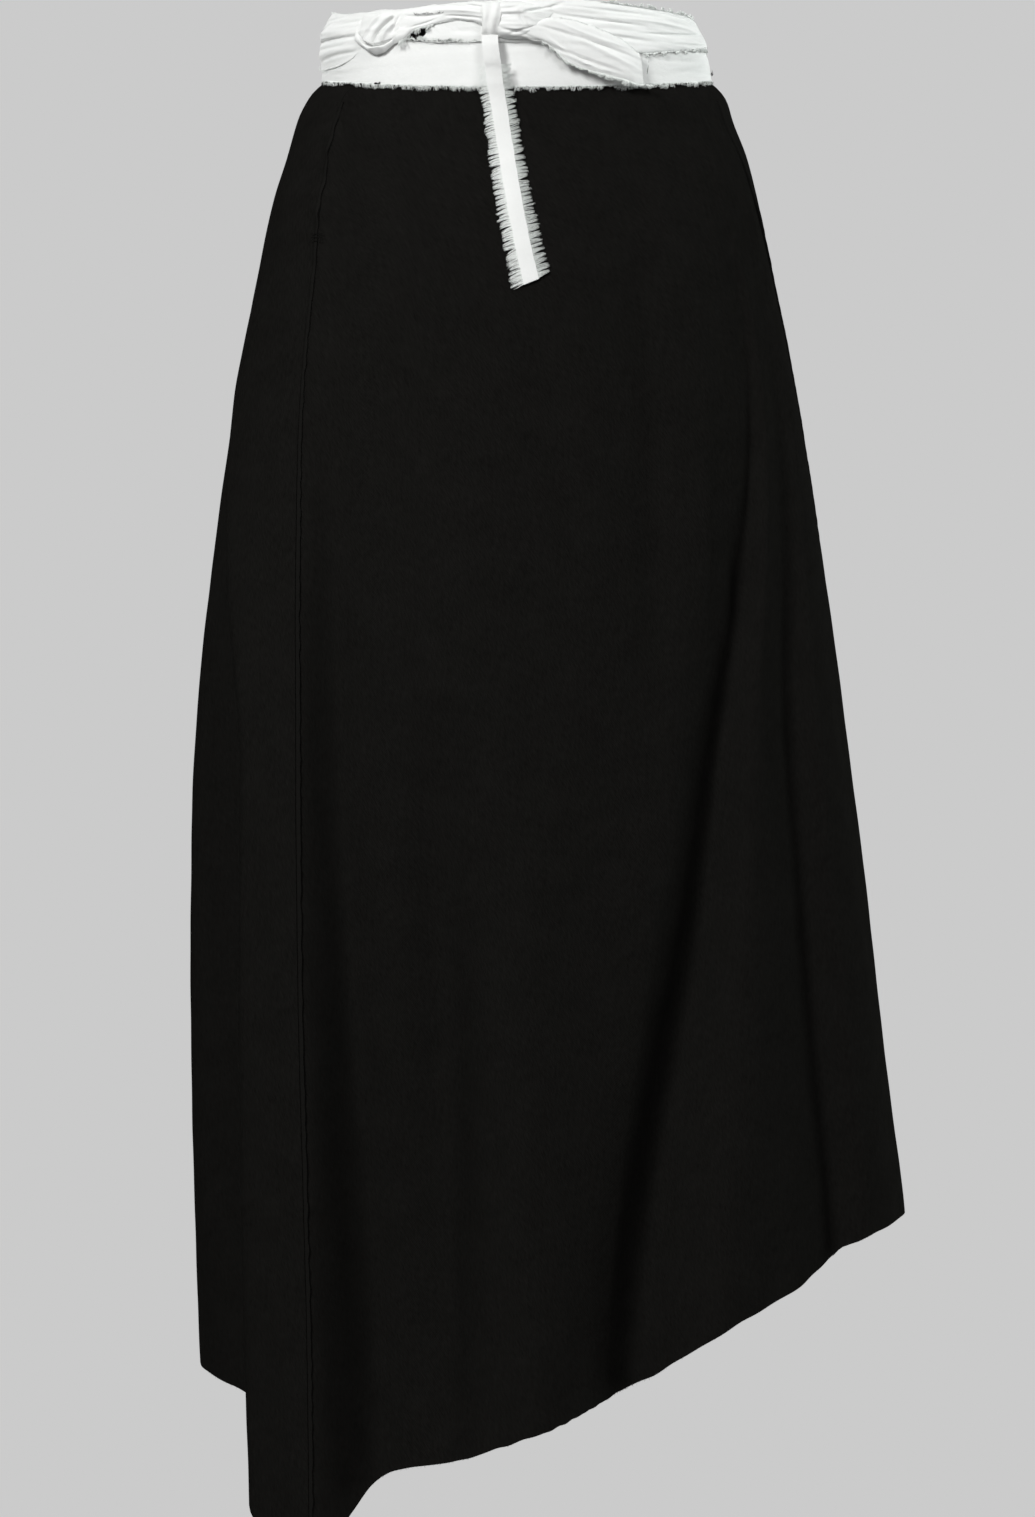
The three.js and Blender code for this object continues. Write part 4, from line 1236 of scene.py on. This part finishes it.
def frayPart(draws, fray):
    count, tuft, spread = fray["count"], fray["tuft"], fray["spread"]

    def edge(turns):
        return waistPoint(turns, edges[fray["edge"]](turns) + fray["above"], fray["out"])

    turns = draws.uniform(fray["from"], fray["to"], count)
    tufts = np.arange(fray["from"], fray["to"] + tuft, tuft)
    tufts = tufts + draws.uniform(-0.45, 0.45, len(tufts)) * tuft
    nearest = np.abs(turns[:, None] - tufts[None, :]).argmin(1)
    share = draws.uniform(0.0, 1, len(tufts))[nearest] ** 1.5 * draws.uniform(0.7, 1.0, count)
    reach = (fray["short"] + (fray["long"] - fray["short"]) * share)[:, None]
    root, tip = edge(turns), edge(turns + (tufts[nearest] - turns) * draws.uniform(0.35, 0.95, count))
    outwards = unit(waistPoint(turns, root[:, 2], 10) - waistPoint(turns, root[:, 2], 0))
    lean = unit(edge(turns + 0.4) - edge(turns - 0.4)) * draws.uniform(-spread, spread, (count, 1))
    aim = unit(np.array([0, 0, fray["way"]]) + lean + outwards * draws.uniform(-0.15, 0.45, (count, 1)))
    tip = tip + aim * reach
    middle = (root + tip) / 2 + outwards * draws.uniform(0, 0.3, (count, 1)) * reach
    return threadPart(np.stack([root, middle, tip], 1), fray["radius"] * draws.uniform(0.7, 1.3, count))


def makeFrays(name, seed, material, slotName, *nodes):
    draws = np.random.default_rng(seed)
    parts = [frayPart(draws, dict(zip(frayColumns, row))) for row in frays[name]]
    return addPiece(name, parts, material, nodes)


bandFrays = makeFrays("waistband_frays", 131, thread, "white_cotton", "waistband_fringe")
tailFrays = makeFrays("tie_tail_frays", 141, thread, "white_cotton", "tie_tail_fringe")
beltFrays = makeFrays("tie_belt_frays", 151, thread, "white_cotton")
# Dark loose threads, and at the tail's cut end dark threads that paint a thin shadow line
darkThreads = makeFrays("dark_threads_and_painted_shadow_line", 161, rawBlack, "black_twill")

studio = {
    "backdrop": (0.597, 0.597, 0.597),
    "floorHeight": -1.12,
    "floorRadius": 1.4,
    "floorFade": (0.25, 0.8),  # metres from its middle
    "floorColour": (0.55, 0.55, 0.55, 1),
    "ambient": 0.17,  # share of the backdrop's light that falls on the skirt
    "view": "Standard",
}


def makeStage():
    scene = bpy.context.scene
    scene.view_settings.view_transform = studio["view"]
    world = bpy.data.worlds.new("studio")
    scene.world = world
    world.use_nodes = True
    world.node_tree.nodes.clear()
    sky = Wire(world.node_tree)
    seen = sky.node("ShaderNodeLightPath", output="Is Camera Ray")
    strength = seen * (1 - studio["ambient"]) + studio["ambient"]
    grey = sky.node("ShaderNodeBackground", {}, {"Color": (*studio["backdrop"], 1), "Strength": strength})
    sky.node("ShaderNodeOutputWorld", {}, {"Surface": grey}, None)
    bpy.ops.mesh.primitive_circle_add(
        vertices=96, radius=studio["floorRadius"], fill_type="NGON", location=(0, 0, studio["floorHeight"])
    )
    floor = bpy.context.object
    floor.name = "studio_floor"
    material, start = newFinish("pale_floor")
    place = start.node("ShaderNodeTexCoord", output="Object")
    far = start.node("ShaderNodeVectorMath", {"operation": "LENGTH"}, {0: place}, "Value")
    near, gone = studio["floorFade"]
    fade = start.node("ShaderNodeMapRange", {"interpolation_type": "SMOOTHSTEP"}, {0: far, 1: near, 2: gone})
    pale = start.node("ShaderNodeBsdfDiffuse", {}, {"Color": studio["floorColour"]})
    clear = start.node("ShaderNodeBsdfTransparent")
    both = start.node("ShaderNodeMixShader", {}, {0: fade, 1: pale, 2: clear})
    closeFinish(start, both)
    floor.data.materials.append(material)


lights = {
    "aimHeight": -0.4,
    "columns": ("name", "x", "y", "z", "size", "power", "tint"),
    "rows": (
        ("left_softbox", -2.9, -0.3, 0.5, 1.1, 4, (0.92, 1, 0.96)),
        ("right_softbox", 2.85, 0.35, 0.5, 1, 54, (0.93, 1, 0.97)),
        ("key_softbox", -1.55, -2.45, 1.4, 0.8, 94, (0.99, 1, 0.985)),
        ("fill_softbox", 1.2, -2.6, 1.4, 1, 30, (1, 1, 0.995)),
        ("left_back_softbox", -1.7, 2.9, 0.9, 1.2, 60, (1, 1, 1)),
        ("right_back_softbox", 2.3, 2.6, 0.5, 1.4, 50, (1, 1, 1)),
    ),
}


def makeLights():
    for row in lights["rows"]:
        light = dict(zip(lights["columns"], row))
        lamp = bpy.data.lights.new(light["name"], "AREA")
        lamp.shape, lamp.size, lamp.size_y = "RECTANGLE", light["size"], light["size"] * 1.5
        lamp.energy, lamp.color = light["power"], light["tint"]
        holder = bpy.data.objects.new(light["name"], lamp)
        holder.location = (light["x"], light["y"], light["z"])
        holder.visible_camera = False
        x, y, z = np.array([0, 0, lights["aimHeight"]]) - np.array(holder.location)
        holder.rotation_euler = (math.atan2(math.hypot(x, y), -z), 0, math.atan2(y, x) - math.pi / 2)
        bpy.context.scene.collection.objects.link(holder)


makeStage()
makeLights()
print("studio ready")
